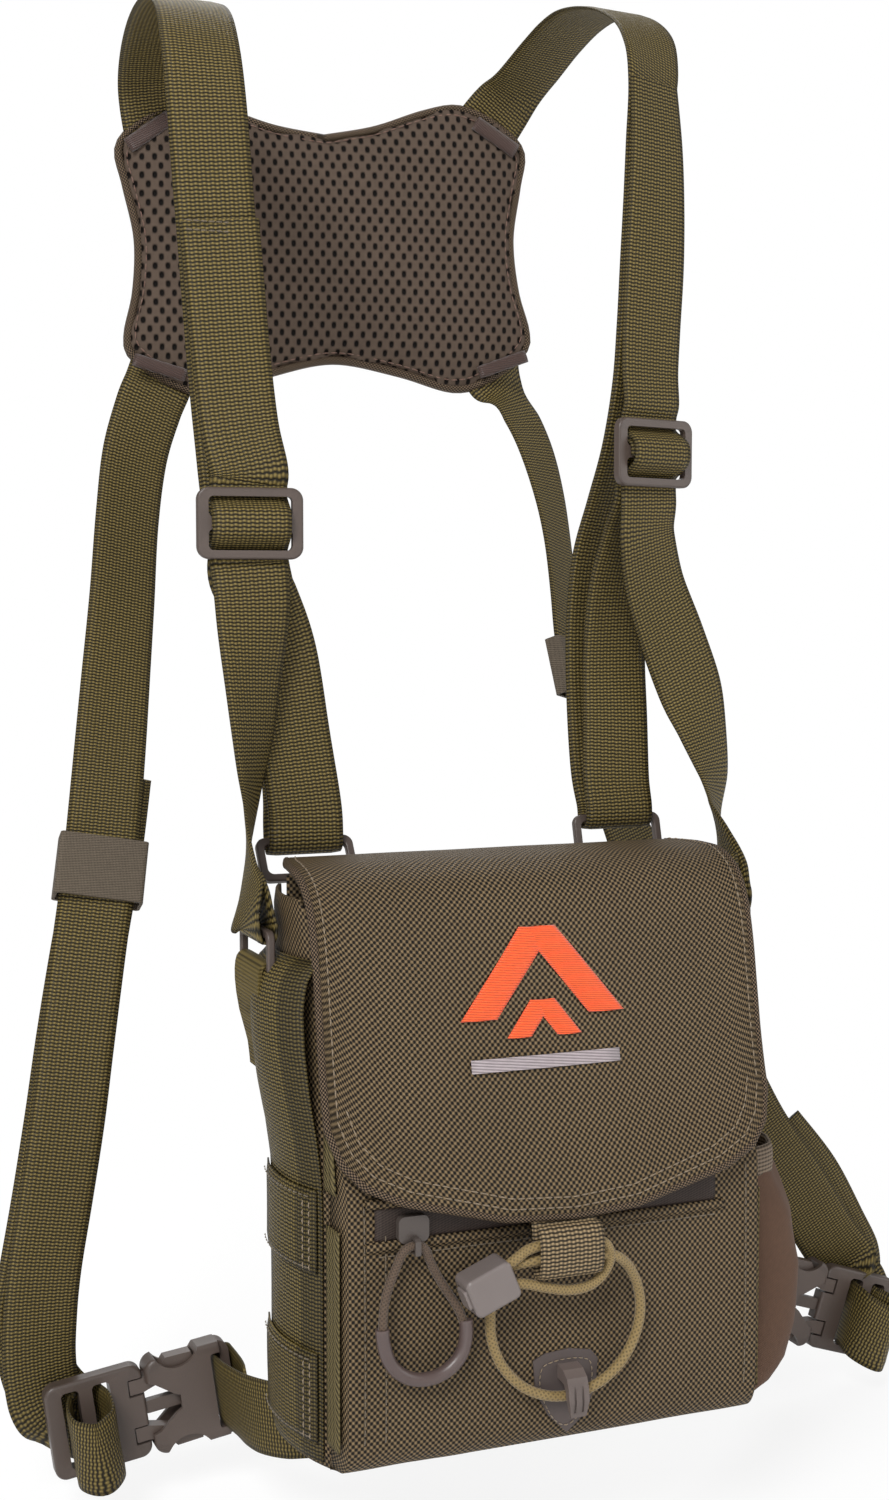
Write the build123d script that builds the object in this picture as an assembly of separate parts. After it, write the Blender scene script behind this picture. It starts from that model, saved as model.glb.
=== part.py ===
"""Binocular harness pack: a chest pack with a fold-over lid, a webbing harness and a mesh back yoke.

Frame: origin at the centre of the face that rests on the chest, +X to the right seen from the front,
+Y towards the wearer, +Z up. Millimetres.
"""
import math
import os
from build123d import *

os.makedirs("parts", exist_ok=True)

# Driving dimensions
WEB_W = 25.0          # one-inch harness webbing
WEB_T = 1.3
PACK_W = 142.0        # across the two front seams
PACK_TOP = 86.0
PACK_BOTTOM = -88.0
BODY_FRONT = -58.0    # front wall of the main compartment
POCKET_FRONT = -70.0  # front face of the zipped pocket
WALL = 2.5
LID_HALF = 74.0
CORD_D = 3.2          # lid shock cord
PULL_D = 2.7          # zip pull cord
HALF = PACK_W / 2


def save(name, solid):
    solid.label = name
    export_step(solid, f"parts/{name}.step")
    print(f"{name}: {solid.volume:.1f} mm3, valid {solid.is_valid}")


def block(x0, x1, y0, y1, z0, z1):
    """A plain box between two corners."""
    size = Box(x1 - x0, y1 - y0, z1 - z0)
    return Pos((x0 + x1) / 2, (y0 + y1) / 2, (z0 + z1) / 2) * size


def prism_y(points, y0, y1):
    """A polygon in the XZ plane carried from y0 to y1."""
    outline = Polyline([(x, 0, z) for x, z in points], close=True)
    return Pos(0, y0, 0) * extrude(make_face(outline), amount=y1 - y0, dir=(0, 1, 0))


def prism_x(points, x0, x1):
    """A polygon in the YZ plane carried from x0 to x1."""
    outline = Polyline([(0, y, z) for y, z in points], close=True)
    return Pos(x0, 0, 0) * extrude(make_face(outline), amount=x1 - x0, dir=(1, 0, 0))


def prism_z(points, z0, z1):
    """A polygon in the XY plane carried from z0 to z1."""
    outline = Polyline([(x, y, 0) for x, y in points], close=True)
    return Pos(0, 0, z0) * extrude(make_face(outline), amount=z1 - z0, dir=(0, 0, 1))


def smooth(rows, steps):
    """Rows of numbers with Catmull-Rom rows added between them."""
    out = []
    for i in range(len(rows) - 1):
        a = rows[max(i - 1, 0)]
        b = rows[i]
        c = rows[i + 1]
        d = rows[min(i + 2, len(rows) - 1)]
        for k in range(steps):
            t = k / steps
            row = []
            for p, q, r, s in zip(a, b, c, d):
                bend = (2 * p - 5 * q + 4 * r - s) * t * t + (3 * q - p - 3 * r + s) * t ** 3
                row.append(q + 0.5 * ((r - p) * t + bend))
            out.append(row)
    out.append(list(rows[-1]))
    return out


def skin(sections):
    """A solid of flat triangles over a row of four-cornered sections."""
    faces = []
    for a, b in zip(sections, sections[1:]):
        for k in range(4):
            m = (k + 1) % 4
            faces.append(Face(Wire.make_polygon([a[k], a[m], b[m]], close=True)))
            faces.append(Face(Wire.make_polygon([a[k], b[m], b[k]], close=True)))
    for end in (sections[0], sections[-1]):
        faces.append(Face(Wire.make_polygon([end[0], end[1], end[2]], close=True)))
        faces.append(Face(Wire.make_polygon([end[0], end[2], end[3]], close=True)))
    return Solid(Shell(faces))


def webbing(stations, width=WEB_W, thick=WEB_T, steps=3):
    """A strap through stations of (x, y, z, turn, lean).

    turn and lean are the direction of the strap's width, in degrees: turn from +X towards +Y,
    lean up from the level plane.
    """
    rows = smooth(stations, steps)
    sections = []
    for i, row in enumerate(rows):
        ahead = Vector(*rows[min(i + 1, len(rows) - 1)][:3])
        behind = Vector(*rows[max(i - 1, 0)][:3])
        along = (ahead - behind).normalized()
        turn = math.radians(row[3])
        lean = math.radians(row[4])
        across = Vector(math.cos(turn) * math.cos(lean), math.sin(turn) * math.cos(lean), math.sin(lean))
        across = (across - along * across.dot(along)).normalized() * (width / 2)
        out = along.cross(across).normalized() * (thick / 2)
        c = Vector(*row[:3])
        sections.append([c - across - out, c + across - out, c + across + out, c - across + out])
    return skin(sections)


def tube(points, radii, diameter, name):
    """A cord along straight runs joined by arcs of the given radii."""
    line = FilletPolyline(*points, radius=radii)
    print(f"{name} bend radii: {radii}, length {line.length:.1f}")
    section = Plane(line @ 0, z_dir=line % 0) * Circle(diameter / 2)
    solid = sweep(section, path=line)
    print(f"{name} volume {solid.volume:.1f}, section x length {math.pi * diameter ** 2 / 4 * line.length:.1f}")
    return solid


# ---- Main compartment -------------------------------------------------------------------------

save("back_panel", block(-67.5, 67.5, -9, -6, PACK_BOTTOM + 2, PACK_TOP))
pad = block(-66, 66, -5.8, 0, -84, 80)
save("chest_pad", fillet(pad.edges().filter_by(Axis.Y), 14))
FRONT_LINE = [(BODY_FRONT, PACK_BOTTOM), (BODY_FRONT, 32), (-55.2, 50), (-52, 66), (-47.4, 79), (-43, 84)]
inner_line = [(y + WALL, z) for y, z in FRONT_LINE[:-1]]
save("front_panel", prism_x([(y, max(z, PACK_BOTTOM + 2)) for y, z in FRONT_LINE[:-1]] + list(reversed([(y, max(z, PACK_BOTTOM + 2)) for y, z in inner_line])), -67.5, 67.5))


def behind_front(gap):
    """The space behind the front wall's outer line, brought back by a gap."""
    return prism_x([(y + gap, z) for y, z in FRONT_LINE] + [(-6, 84), (10, 84), (10, PACK_BOTTOM)], -100, 100)


bottom = block(-67.5, 67.5, BODY_FRONT, -6, PACK_BOTTOM - 3, PACK_BOTTOM + 1.7)
save("bottom_panel", fillet(bottom.edges().filter_by(Axis.Y), 2))


def gusset(side):
    """A side wall, bowed outwards as a filled pack's side is."""
    outer = ThreePointArc((side * 70.5, -6), (side * 77, -32), (side * 70.5, BODY_FRONT))
    inner = ThreePointArc((side * 68, BODY_FRONT), (side * 74.5, -32), (side * 68, -6))
    ends = [Line((side * 70.5, BODY_FRONT), (side * 68, BODY_FRONT)), Line((side * 68, -6), (side * 70.5, -6))]
    wall = Pos(0, 0, PACK_BOTTOM) * extrude(make_face([outer, inner] + ends), amount=PACK_TOP - 2 - PACK_BOTTOM)
    return wall & behind_front(0)


save("left_gusset", gusset(-1))
save("right_gusset", gusset(1))

# ---- Front pocket: a shallow zipped pocket sewn over the front wall ----------------------------

ZIP_Z = -10.0
POCKET_TOP = 4.0
wall = [(-57.7 - 0.6, PACK_BOTTOM + 3), (-69, PACK_BOTTOM + 5), (-69, POCKET_TOP - 6), (-58.3, POCKET_TOP + 8)]
outer = prism_x(wall, -HALF, HALF)
room = [(-58.3, PACK_BOTTOM + 6), (-72, PACK_BOTTOM + 8), (-72, POCKET_TOP - 8.5), (-58.3, POCKET_TOP + 4)]
save("pocket_gusset", outer - prism_x(room, -HALF + 2, HALF - 2))
face = block(-HALF, HALF, POCKET_FRONT, -69.0, PACK_BOTTOM + 5, POCKET_TOP - 6)
slit = block(-62, 54, POCKET_FRONT - 1, -68, ZIP_Z - 6, ZIP_Z + 5)
face = fillet((face - slit).edges().filter_by(Axis.Y), 1.5)
save("pocket_face", face)
tape = block(-61.5, 53.5, POCKET_FRONT + 0.1, -69.3, ZIP_Z - 5.5, ZIP_Z + 4.5)
save("zip_tape", tape)
save("zip_coil", block(-60, 52, POCKET_FRONT - 0.9, POCKET_FRONT + 0.1, ZIP_Z - 2, ZIP_Z + 2))

# ---- Hook that holds the lid cord ---------------------------------------------------------------

shield = [(-10, -58), (-6, -56.2), (2, -55.6), (9.5, -57), (12, -60), (11.2, -69), (7.5, -77), (1.5, -82), (-4.6, -76), (-9, -68)]
save("hook_patch", prism_y(shield, POCKET_FRONT - 1.2, POCKET_FRONT - 0.0))
HOOK_X = 1.6
profile = [
    (-71.2, -60),
    (-75.2, -60.6),
    (-78.0, -62.4),
    (-79.4, -65.4),
    (-79.9, -69.4),
    (-79.2, -74.2),
    (-78.2, -73.8),
    (-77.6, -69.2),
    (-77.2, -66.6),
    (-75.8, -64.8),
    (-71.2, -64.2),
]
hook = prism_x(profile, HOOK_X - 3.4, HOOK_X + 3.4)
for groove_x in (HOOK_X - 1.3, HOOK_X + 1.3):
    hook = hook - prism_x([(-82, -63), (-79.0, -64.4), (-79.3, -69.6), (-79.0, -72.6), (-82, -73)], groove_x - 0.35, groove_x + 0.35)
taper = prism_y([(-3.4, -59), (6.6, -59), (4.2, -74.5), (-0.8, -74.5)], -82, -70)
save("gear_hook", hook & taper)

# ---- Side webbing, the loops on it and the side pocket -------------------------------------------


def side_strip(side, y0, y1, z0, z1, gap, thick):
    """Webbing that lies along the bowed side wall between two depths."""
    near = 70.5 + gap
    far = near + thick
    outer = ThreePointArc((side * far, -6), (side * (far + 6.5), -32), (side * far, BODY_FRONT))
    inner = ThreePointArc((side * near, BODY_FRONT), (side * (near + 6.5), -32), (side * near, -6))
    ends = [Line((side * far, BODY_FRONT), (side * near, BODY_FRONT)), Line((side * near, -6), (side * far, -6))]
    band = Pos(0, 0, z0) * extrude(make_face([outer, inner] + ends), amount=z1 - z0)
    return band & block(min(side * 60, side * 95), max(side * 60, side * 95), y0, y1, z0, z1) & behind_front(2)


save("side_webbing_left", side_strip(-1, -55, -17, -86, 58, 0.1, 1.4))
save("webbing_band_upper_left", side_strip(-1, -56, -15, -28, -2, 1.6, 1.4))
save("webbing_band_lower_left", side_strip(-1, -56, -15, -80, -52, 1.6, 1.4))
save("side_webbing_right", side_strip(1, -56, -38, -86, 58, 0.1, 1.4))

shape = [(73, -16), (92, -13), (100, -30), (105, -50), (103, -70), (95, -86), (84, -92), (73, -92)]
hollow = [(74.5, -8), (90, -8), (98.5, -30), (103.6, -50), (101.6, -69.5), (94, -84.8), (83.5, -90.6), (74.5, -90.6)]
pocket = prism_y(shape, -52, -8) - prism_y(hollow, -50.6, -9.4)
save("side_pocket_right", pocket - side_strip(1, -58, -6, -88, 0, -9, 10.8))
rim = prism_y([(76, -12.7), (92.2, -12.7), (91, -6), (77, -6)], -52.3, -7.7)
rim = rim - prism_y([(77.6, -14), (90.4, -14), (89.6, -5), (78.4, -5)], -50.7, -9.3)
save("side_pocket_binding", rim - side_strip(1, -58, -6, -88, 0, -9, 10.8))

# ---- Rings ----------------------------------------------------------------------------------------


def ring_at(place, width, height, wire):
    """A rectangular ring in its own XZ plane, its lower bar's centre at the place."""
    outer = RectangleRounded(width, height + wire, 3.2)
    inner = RectangleRounded(width - 2 * wire, height - wire, 2.0)
    plate = extrude(Pos(0, height / 2) * (outer - inner), amount=wire / 2, both=True)
    plate = fillet(plate.edges().filter_by(GeomType.LINE), 0.6)
    return place * plate


def ring_plane(x, y, z, back, turn=0.0):
    """Where a ring stands: its lower bar at a point, leaning back, turned about the vertical."""
    return Pos(x, y, z) * Rot(0, 0, turn) * Rot(90 - back, 0, 0)


RING_W = 33.0
RING_H = 13.0
RING_WIRE = 2.6
LEFT_RING = (-57.0, 0.5, 84.0)
RIGHT_RING = (55.0, 0.5, 86.0)
save("top_ring_left", ring_at(ring_plane(*LEFT_RING, 33), RING_W, RING_H, RING_WIRE))
save("top_ring_right", ring_at(ring_plane(*RIGHT_RING, 15), RING_W, RING_H, RING_WIRE))


def ring_tab(x, y, z):
    """The short tape that holds a top ring: sewn flat inside the back edge and looped round the bar."""
    loop = [
        (x, -5.2, z - 14, 0, 0),
        (x, -5.1, z - 8, 0, 0),
        (x, -4.2, z - 4.2, 0, 0),
        (x, y - 2.9, z - 1.6, 0, 0),
        (x, y - 2.2, z + 1.4, 0, 0),
        (x, y, z + 2.6, 0, 0),
        (x, y + 2.2, z + 1.4, 0, 0),
        (x, y + 2.3, z - 1.2, 0, 0),
        (x, y + 0.8, z - 3.0, 0, 0),
    ]
    return webbing(loop, width=11, thick=0.9, steps=2)


save("ring_tab_left", ring_tab(*LEFT_RING))
save("ring_tab_right", ring_tab(*RIGHT_RING))

SIDE_RING_LEFT = (-82.4, -24.0, 60.5)
SIDE_RING_RIGHT = (82.4, -24.0, 60.5)
SIDE_W = 31.0
save("side_ring_left", ring_at(ring_plane(*SIDE_RING_LEFT, 0, 90), SIDE_W, 12, 2.4))
save("side_ring_right", ring_at(ring_plane(*SIDE_RING_RIGHT, 0, 90), SIDE_W, 12, 2.4))


def side_loop(side):
    """The fold of webbing over a side ring's lower bar, its legs running down the side wall."""
    rows = [
        (side * 79.2, -25, 38, 90, 0),
        (side * 79.2, -25, 50, 90, 0),
        (side * 79.4, -24, 57, 90, 0),
        (side * 79.7, -24, 60.8, 90, 0),
        (side * 80.6, -24, 62.9, 90, 0),
        (side * 82.4, -24, 63.5, 90, 0),
        (side * 84.2, -24, 62.9, 90, 0),
        (side * 85.2, -24, 60.6, 90, 0),
        (side * 85.4, -24, 55, 90, 0),
        (side * 84.2, -24, 46, 90, 0),
        (side * 81.8, -25, 36, 90, 0),
        (side * 80.9, -25, 28, 90, 0),
    ]
    return webbing(rows, width=25, thick=1.2, steps=2)


save("side_loop_left", side_loop(-1))
save("side_loop_right", side_loop(1))

# ---- Harness straps --------------------------------------------------------------------------------

TRIGLIDE_LEFT = (-76.5, 0.0, 197.5, -6.0)
TRIGLIDE_RIGHT = (61.0, -11.0, 222.5, 16.0)


def near_glide(glide, rows):
    """Stations given as (height, depth) at a tri-glide, set in its own turned plane."""
    x, y, z, turn = glide
    a = math.radians(turn)
    return [(x - d * math.sin(a), y + d * math.cos(a), z + h, turn, 0) for h, d in rows]


WEAVE = [(17, 1.2), (12.5, 2.4), (9.8, 2.5), (7.9, 2.3), (3.9, -3.2), (0, -4.4), (-3.9, -3.2), (-7.9, 2.3), (-9.8, 2.5), (-12.5, 2.4)]
RETURN = [(-16, 5.8), (-10, 5.1), (-5.5, 3.9), (-1.8, 2.6), (0.9, 2.4), (2.8, 1.7), (3.4, 0), (2.8, -1.7), (0.9, -2.4), (-1.4, -2.4)]

left_over = [
    (-70, 130.5, 338, 0, 0),
    (-73, 130.5, 349, 0, 0),
    (-76, 124, 361, 0, 0),
    (-79, 106, 369, 0, 0),
    (-82, 80, 373, 0, 0),
    (-84, 54, 372, 0, 0),
    (-86, 29, 363, 0, 0),
    (-88, 12, 347, -4, 0),
    (-88.5, 3.5, 327, -8, 0),
    (-87.5, 1.5, 305, -8, 0),
    (-85.5, 2, 280, -8, 0),
    (-83, 3.5, 250, -6, 0),
    (-80, 6, 225, -6, 0),
    (-76.5, 10, 203, -3, 0),
    (-70, 16, 178, 0, 0),
    (-63, 18.5, 158, 0, 0),
    (-58, 17.5, 135, 0, 0),
    (-56.5, 13.5, 112, 0, 0),
    (-57, 11.2, 99, 0, 0),
    (-57, 10.3, 93.5, 0, 0),
    (-57, 7.6, 91.2, 0, 0),
    (-57, 4.7, 93.2, 0, 0),
    (-57, 4.2, 98, 0, 0),
    (-57, 6.3, 108, 0, 0),
    (-59, 11.5, 130, 0, 0),
    (-63, 12.5, 155, -2, 0),
    (-70, 9.6, 172, -5, 0),
]
save("shoulder_strap_left", webbing(left_over + near_glide(TRIGLIDE_LEFT, RETURN)))

left_adjust_top = [
    (-85.9, -0.3, 291, -8, 0),
    (-85.0, -0.4, 280, -8, 0),
    (-82.2, 0.5, 250, -6, 0),
    (-79.4, 1.2, 228, -6, 0),
]
left_adjust_low = [
    (-76, 1.4, 181, -3, 0),
    (-75.5, 1, 170, 4, 0),
    (-76, 0, 150, 27, 0),
    (-76.5, -1.5, 130, 43, 0),
    (-77.8, -2.5, 112, 60, 0),
    (-80, -7, 98, 72, 0),
    (-82.6, -15, 84.5, 84, 0),
    (-84.9, -22, 77, 90, 0),
    (-85.1, -24, 73, 90, 0),
    (-84.3, -24, 70.4, 90, 0),
    (-82.4, -24, 69.5, 90, 0),
    (-80.5, -24, 70.4, 90, 0),
    (-79.8, -24, 72.8, 90, 0),
    (-80.2, -22.6, 76.8, 90, 0),
    (-80.6, -18, 82, 88, 0),
]
save("adjust_strap_left", webbing(left_adjust_top + near_glide(TRIGLIDE_LEFT, WEAVE) + left_adjust_low))

right_over = [
    (47, 112.5, 346, -8, 0),
    (53, 112, 355.5, -6, 0),
    (60, 107, 366, 0, 0),
    (64, 97, 373, 3, 0),
    (66.5, 84, 379.5, 5, 0),
    (67.5, 68, 383.5, 5, 0),
    (67, 50, 383, 5, 0),
    (67.5, 30, 378, 8, 0),
    (68, 14, 369, 15, 0),
    (66, 3, 357, 22, 0),
    (63.3, -3.5, 343, 25, 0),
    (62.3, -5.5, 325, 20, 0),
    (62, -6, 305, 15, 0),
    (61.3, -6.2, 285, 12, 0),
    (60.2, -6, 265, 13, 0),
    (59.3, -4, 245, 15, 0),
    (58.6, 2, 225, 15, 0),
    (57.5, 10, 207, 12, 0),
    (55, 15, 187, 6, 0),
    (54, 16.5, 163, 2, 0),
    (54, 15, 138, 0, 0),
    (54, 11.5, 115, 0, 0),
    (55, 8.6, 103, 0, 0),
    (55, 7.3, 97.8, 0, 0),
    (55, 4.4, 95.3, 0, 0),
    (55, 1.4, 97.4, 0, 0),
    (55, 1.0, 102.5, 0, 0),
    (55, 3.5, 113, 0, 0),
    (56.5, 7.5, 133, 2, 0),
    (56.5, 8.6, 155, 6, 0),
    (56.5, 6.0, 178, 12, 0),
    (58.5, 0.5, 196, 15, 0),
]
save("shoulder_strap_right", webbing(right_over + near_glide(TRIGLIDE_RIGHT, RETURN)))

right_adjust_top = [
    (62.4, -6.4, 345.5, 25, 0),
    (62.9, -7.9, 325, 20, 0),
    (62.6, -8.5, 305, 15, 0),
    (61.9, -8.8, 285, 12, 0),
    (60.9, -8.9, 265, 13, 0),
    (60.4, -9.2, 250, 15, 0),
]
right_adjust_low = [
    (60.5, -8.6, 205, 16, 0),
    (61, -7, 194, 18, 0),
    (66, -3, 178, 12, 0),
    (75, 0, 159, 3, 0),
    (82.5, 1, 142, 3, 0),
    (87, 0, 128, 20, 0),
    (90, -2, 113, 38, 0),
    (89, -5, 100, 55, 0),
    (87, -14, 88, 75, 0),
    (85.4, -21.5, 78, 90, 0),
    (85.1, -24, 73, 90, 0),
    (84.3, -24, 70.4, 90, 0),
    (82.4, -24, 69.5, 90, 0),
    (80.5, -24, 70.4, 90, 0),
    (79.8, -24, 72.8, 90, 0),
    (80.4, -22.6, 76.8, 90, 0),
    (82.0, -19, 82, 88, 0),
]
save("adjust_strap_right", webbing(right_adjust_top + near_glide(TRIGLIDE_RIGHT, WEAVE) + right_adjust_low))


def triglide(glide):
    """A three-bar slider for 25 mm webbing."""
    x, y, z, turn = glide
    plate = RectangleRounded(34, 22.6, 4.0)
    slot = RectangleRounded(26.8, 6.6, 1.6)
    frame = plate - Pos(0, 5.2) * slot - Pos(0, -5.2) * slot
    body = extrude(frame, amount=1.3, both=True)
    body = fillet(body.faces().sort_by(Axis.Z)[-1].outer_wire().edges(), 0.8)
    return Pos(x, y, z) * Rot(0, 0, turn) * Rot(90, 0, 0) * body


save("triglide_left", triglide(TRIGLIDE_LEFT))
save("triglide_right", triglide(TRIGLIDE_RIGHT))

# ---- Yoke -------------------------------------------------------------------------------------------

half_outline = [(0, 40), (20, 43.5), (40, 50), (54, 52), (68, 46), (78, 36), (76, 22), (72.5, 2), (74, -18), (78, -34), (76, -42), (62, -52), (48, -55.5), (26, -49), (0, -44)]
outline = half_outline + [(-x, z) for x, z in reversed(half_outline[1:-1])]
YOKE = Pos(-9.4, 120.5, 308) * Rot(0, 0, -9) * Rot(0, -2, 0)


def yoke_layer(front, back, inset=0.0):
    """One layer of the yoke between two depths, its edge brought in by the inset."""
    edge = [(x * (1 - inset / 75), z * (1 - inset / 48)) for x, z in outline]
    curve = Spline([(x, 0, z) for x, z in edge], periodic=True)
    return YOKE * (Pos(0, front, 0) * extrude(make_face(curve), amount=back - front, dir=(0, 1, 0)))


save("yoke_mesh", yoke_layer(-4, -1))
save("yoke_foam", yoke_layer(-0.8, 4, 3))
save("yoke_backing", yoke_layer(4.2, 6))

# ---- Rear straps, keepers and buckles --------------------------------------------------------------

left_rear = [
    (-70, 132.3, 262, -8, 0),
    (-73, 132, 254, -6, 0),
    (-77, 131, 245, 0, 0),
    (-83, 128, 227, 8, 0),
    (-88, 120, 203, 14, 0),
    (-93, 108, 174, 12, 0),
    (-98.8, 94.5, 145, 6, 0),
    (-105, 79, 117, -2, 0),
    (-111, 65, 90, -8, 0),
    (-115.2, 56.5, 72, -10, 0),
    (-119.5, 51, 52, -10, 0),
    (-124, 47.5, 26, -8, 0),
    (-128, 45.5, 0, -6, 0),
    (-132.5, 44.5, -26, -2, 0),
    (-136.5, 45, -50, 0, 0),
    (-138, 46.5, -68, 0, 15),
    (-138, 48, -84, 0, 50),
    (-136, 48.6, -96.5, 0, 82),
    (-131.6, 47.6, -103.2, 0, 97.5),
    (-128.1, 42.0, -104.4, 0, 98),
    (-130.0, 33.5, -105.8, 0, 98),
    (-129.0, 26, -107.6, 0, 98),
    (-123, 21.5, -108, 0, 98),
    (-117.0, 26, -105.6, 0, 98),
    (-116.0, 33.5, -103.2, 0, 98),
    (-117.7, 42.0, -102.9, 0, 98),
    (-121.5, 48.6, -102, 0, 98),
    (-128, 51.0, -101, 0, 95),
    (-135.5, 52.2, -93, 0, 72),
    (-139.5, 51.4, -80, 0, 42),
    (-141, 50, -65, 0, 15),
    (-138.5, 48.3, -50, 0, 0),
    (-134, 47.4, -26, -2, 0),
    (-129.2, 48.2, 0, -6, 0),
    (-124.6, 50.2, 26, -8, 0),
    (-119.2, 53.7, 52, -10, 0),
    (-114, 59.2, 72, -10, 0),
    (-108.6, 67.6, 90, -8, 0),
    (-102.6, 79.5, 112, -4, 0),
]
save("rear_strap_left", webbing(left_rear))

right_rear = [
    (50, 112.2, 270, -4, 0),
    (54.5, 112, 262, 0, -25),
    (60.5, 111.5, 254, 8, -30),
    (66, 108, 244, 15, -25),
    (70, 103, 231, 28, -12),
    (72.8, 97.5, 214, 38, 0),
    (74, 92, 196, 42, 0),
    (74.2, 86, 175, 42, 0),
    (73.5, 78.5, 155, 40, 0),
    (75, 71, 135, 38, 0),
    (81, 63.5, 108, 30, 0),
    (92, 56, 75, 15, 0),
    (108, 51, 35, 0, 0),
    (124, 49.5, 0, -5, 5),
    (140, 49, -30, -5, 15),
    (158, 49.5, -54, -5, 25),
    (173.5, 51.5, -77, -5, 0),
    (184, 52.8, -90, 0, -45),
    (190.0, 53.2, -100.5, 0, -90),
    (192.0, 51.9, -107.6, 0, -107),
    (188.9, 46, -110.3, 0, -108.5),
    (191.0, 37.5, -112, 0, -108.5),
    (190.0, 30, -113.8, 0, -108.5),
    (184, 25.5, -112.8, 0, -108.5),
    (178.0, 30, -109.4, 0, -108.5),
    (177.0, 37.5, -106.8, 0, -108.5),
    (179.0, 46, -107, 0, -108.5),
    (183.0, 53.4, -106.5, 0, -108.5),
    (189.8, 56.4, -104, 0, -92),
    (189.5, 56.8, -92, 0, -45),
    (180.5, 55.0, -76, -5, -5),
    (167, 52.8, -54, -5, 25),
    (150, 51.8, -34, -5, 20),
]
save("rear_strap_right", webbing(right_rear))


def keeper(place, thick_room):
    """A sewn band of elastic round two layers of webbing."""
    outer = RectangleRounded(WEB_W + 5.2, thick_room + 2.2, 1.5)
    inner = RectangleRounded(WEB_W + 3.0, thick_room, 0.8)
    return place * extrude(outer - inner, amount=11, both=True)


KEEPER_LEFT = Plane(origin=(-112.2, 62.1, 81.0), x_dir=(0.966, -0.151, -0.211), z_dir=(0.207, 0.419, 0.884))
save("keeper_left", keeper(KEEPER_LEFT, 7.8))
KEEPER_RIGHT = Plane(origin=(74.0, 75.5, 146.5), x_dir=(0.77, 0.64, 0.0), z_dir=(-0.05, 0.37, 0.928))
save("keeper_right", keeper(KEEPER_RIGHT, 4.4))

BUCKLE_LEFT = Plane(origin=(-136.5, 42, -105.5), x_dir=(math.cos(math.radians(8)), 0, math.sin(math.radians(8))), z_dir=(-math.sin(math.radians(8)), 0, math.cos(math.radians(8))))
BUCKLE_RIGHT = Plane(origin=(197, 46, -113), x_dir=(-math.cos(math.radians(18.5)), 0, math.sin(math.radians(18.5))), z_dir=(math.sin(math.radians(18.5)), 0, math.cos(math.radians(18.5))))


def slab(s0, s1, d0, d1, h0, h1, soft):
    """A box in a buckle's own directions (along, through, across) with its through edges rounded."""
    body = block(s0, s1, d0, d1, h0, h1)
    return fillet(body.edges().filter_by(Axis.Y), soft) if soft else body


def buckle_frame():
    """The male half: webbing ladder, shoulder and guide tongue."""
    ladder = slab(0, 33.4, -3, 3, -16.5, 16.5, 4)
    for s0, s1 in ((5.5, 11.5), (16.0, 22.0)):
        ladder = ladder - slab(s0, s1, -5, 5, -13.4, 13.4, 1.5)
    ladder = fillet(ladder.faces().sort_by(Axis.Y)[0].outer_wire().edges(), 1.2)
    ladder = fillet(ladder.faces().sort_by(Axis.Y)[-1].outer_wire().edges(), 1.2)
    root = slab(28, 33.6, -4, 4, 5.4, 11.6, 0) + slab(28, 33.6, -4, 4, -11.6, -5.4, 0)
    return ladder - root + slab(33, 50, -1.5, 1.5, -2.2, 2.2, 1)


def prong(up):
    """One sprung arm with the pad that shows in the socket's side window."""
    arm = [(28.5, 6), (33, 6), (42, 8.6), (52, 8.4), (54, 10.5), (51.5, 13.0), (51, 15.6), (42, 15.8), (39.6, 13), (33, 11), (28.5, 11)]
    body = prism_y([(s, up * h) for s, h in arm], -2.5, 2.5)
    return body


def buckle_socket():
    """The female half: hollow shell, side windows, webbing slot and end bar."""
    shell = slab(34, 64, -4.8, 4.8, -17, 17, 4.5)
    shell = fillet(shell.faces().sort_by(Axis.Y)[0].outer_wire().edges(), 1.6)
    shell = fillet(shell.faces().sort_by(Axis.Y)[-1].outer_wire().edges(), 1.6)
    shell = shell - block(33, 55.5, -3.2, 3.2, -13.6, 13.6)
    shell = shell - block(38.6, 52.0, -3.2, 3.2, -18, 18)
    shell = shell - block(60.4, 65, 2.8, 6, -18, 18) - block(60.4, 65, -6, -2.8, -18, 18)
    mouth = prism_y([(33, -9.5), (36.5, -8.6), (43, -3.4), (45, -2.4), (45, 2.4), (43, 3.4), (36.5, 8.6), (33, 9.5)], -6, 6)
    shell = shell - mouth
    for up in (-1, 1):
        waist = Location((45.6, 0, up * 20.6), (90, 0, 0)) * Cylinder(8.4, 14)
        shell = shell - waist
    return shell - slab(57, 60.8, -6, 6, -13.4, 13.4, 1.2)


for side, plane in (("left", BUCKLE_LEFT), ("right", BUCKLE_RIGHT)):
    save(f"buckle_frame_{side}", plane.location * buckle_frame())
    save(f"prong_{side}_upper", plane.location * prong(1))
    save(f"prong_{side}_lower", plane.location * prong(-1))
    save(f"buckle_socket_{side}", plane.location * buckle_socket())

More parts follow.
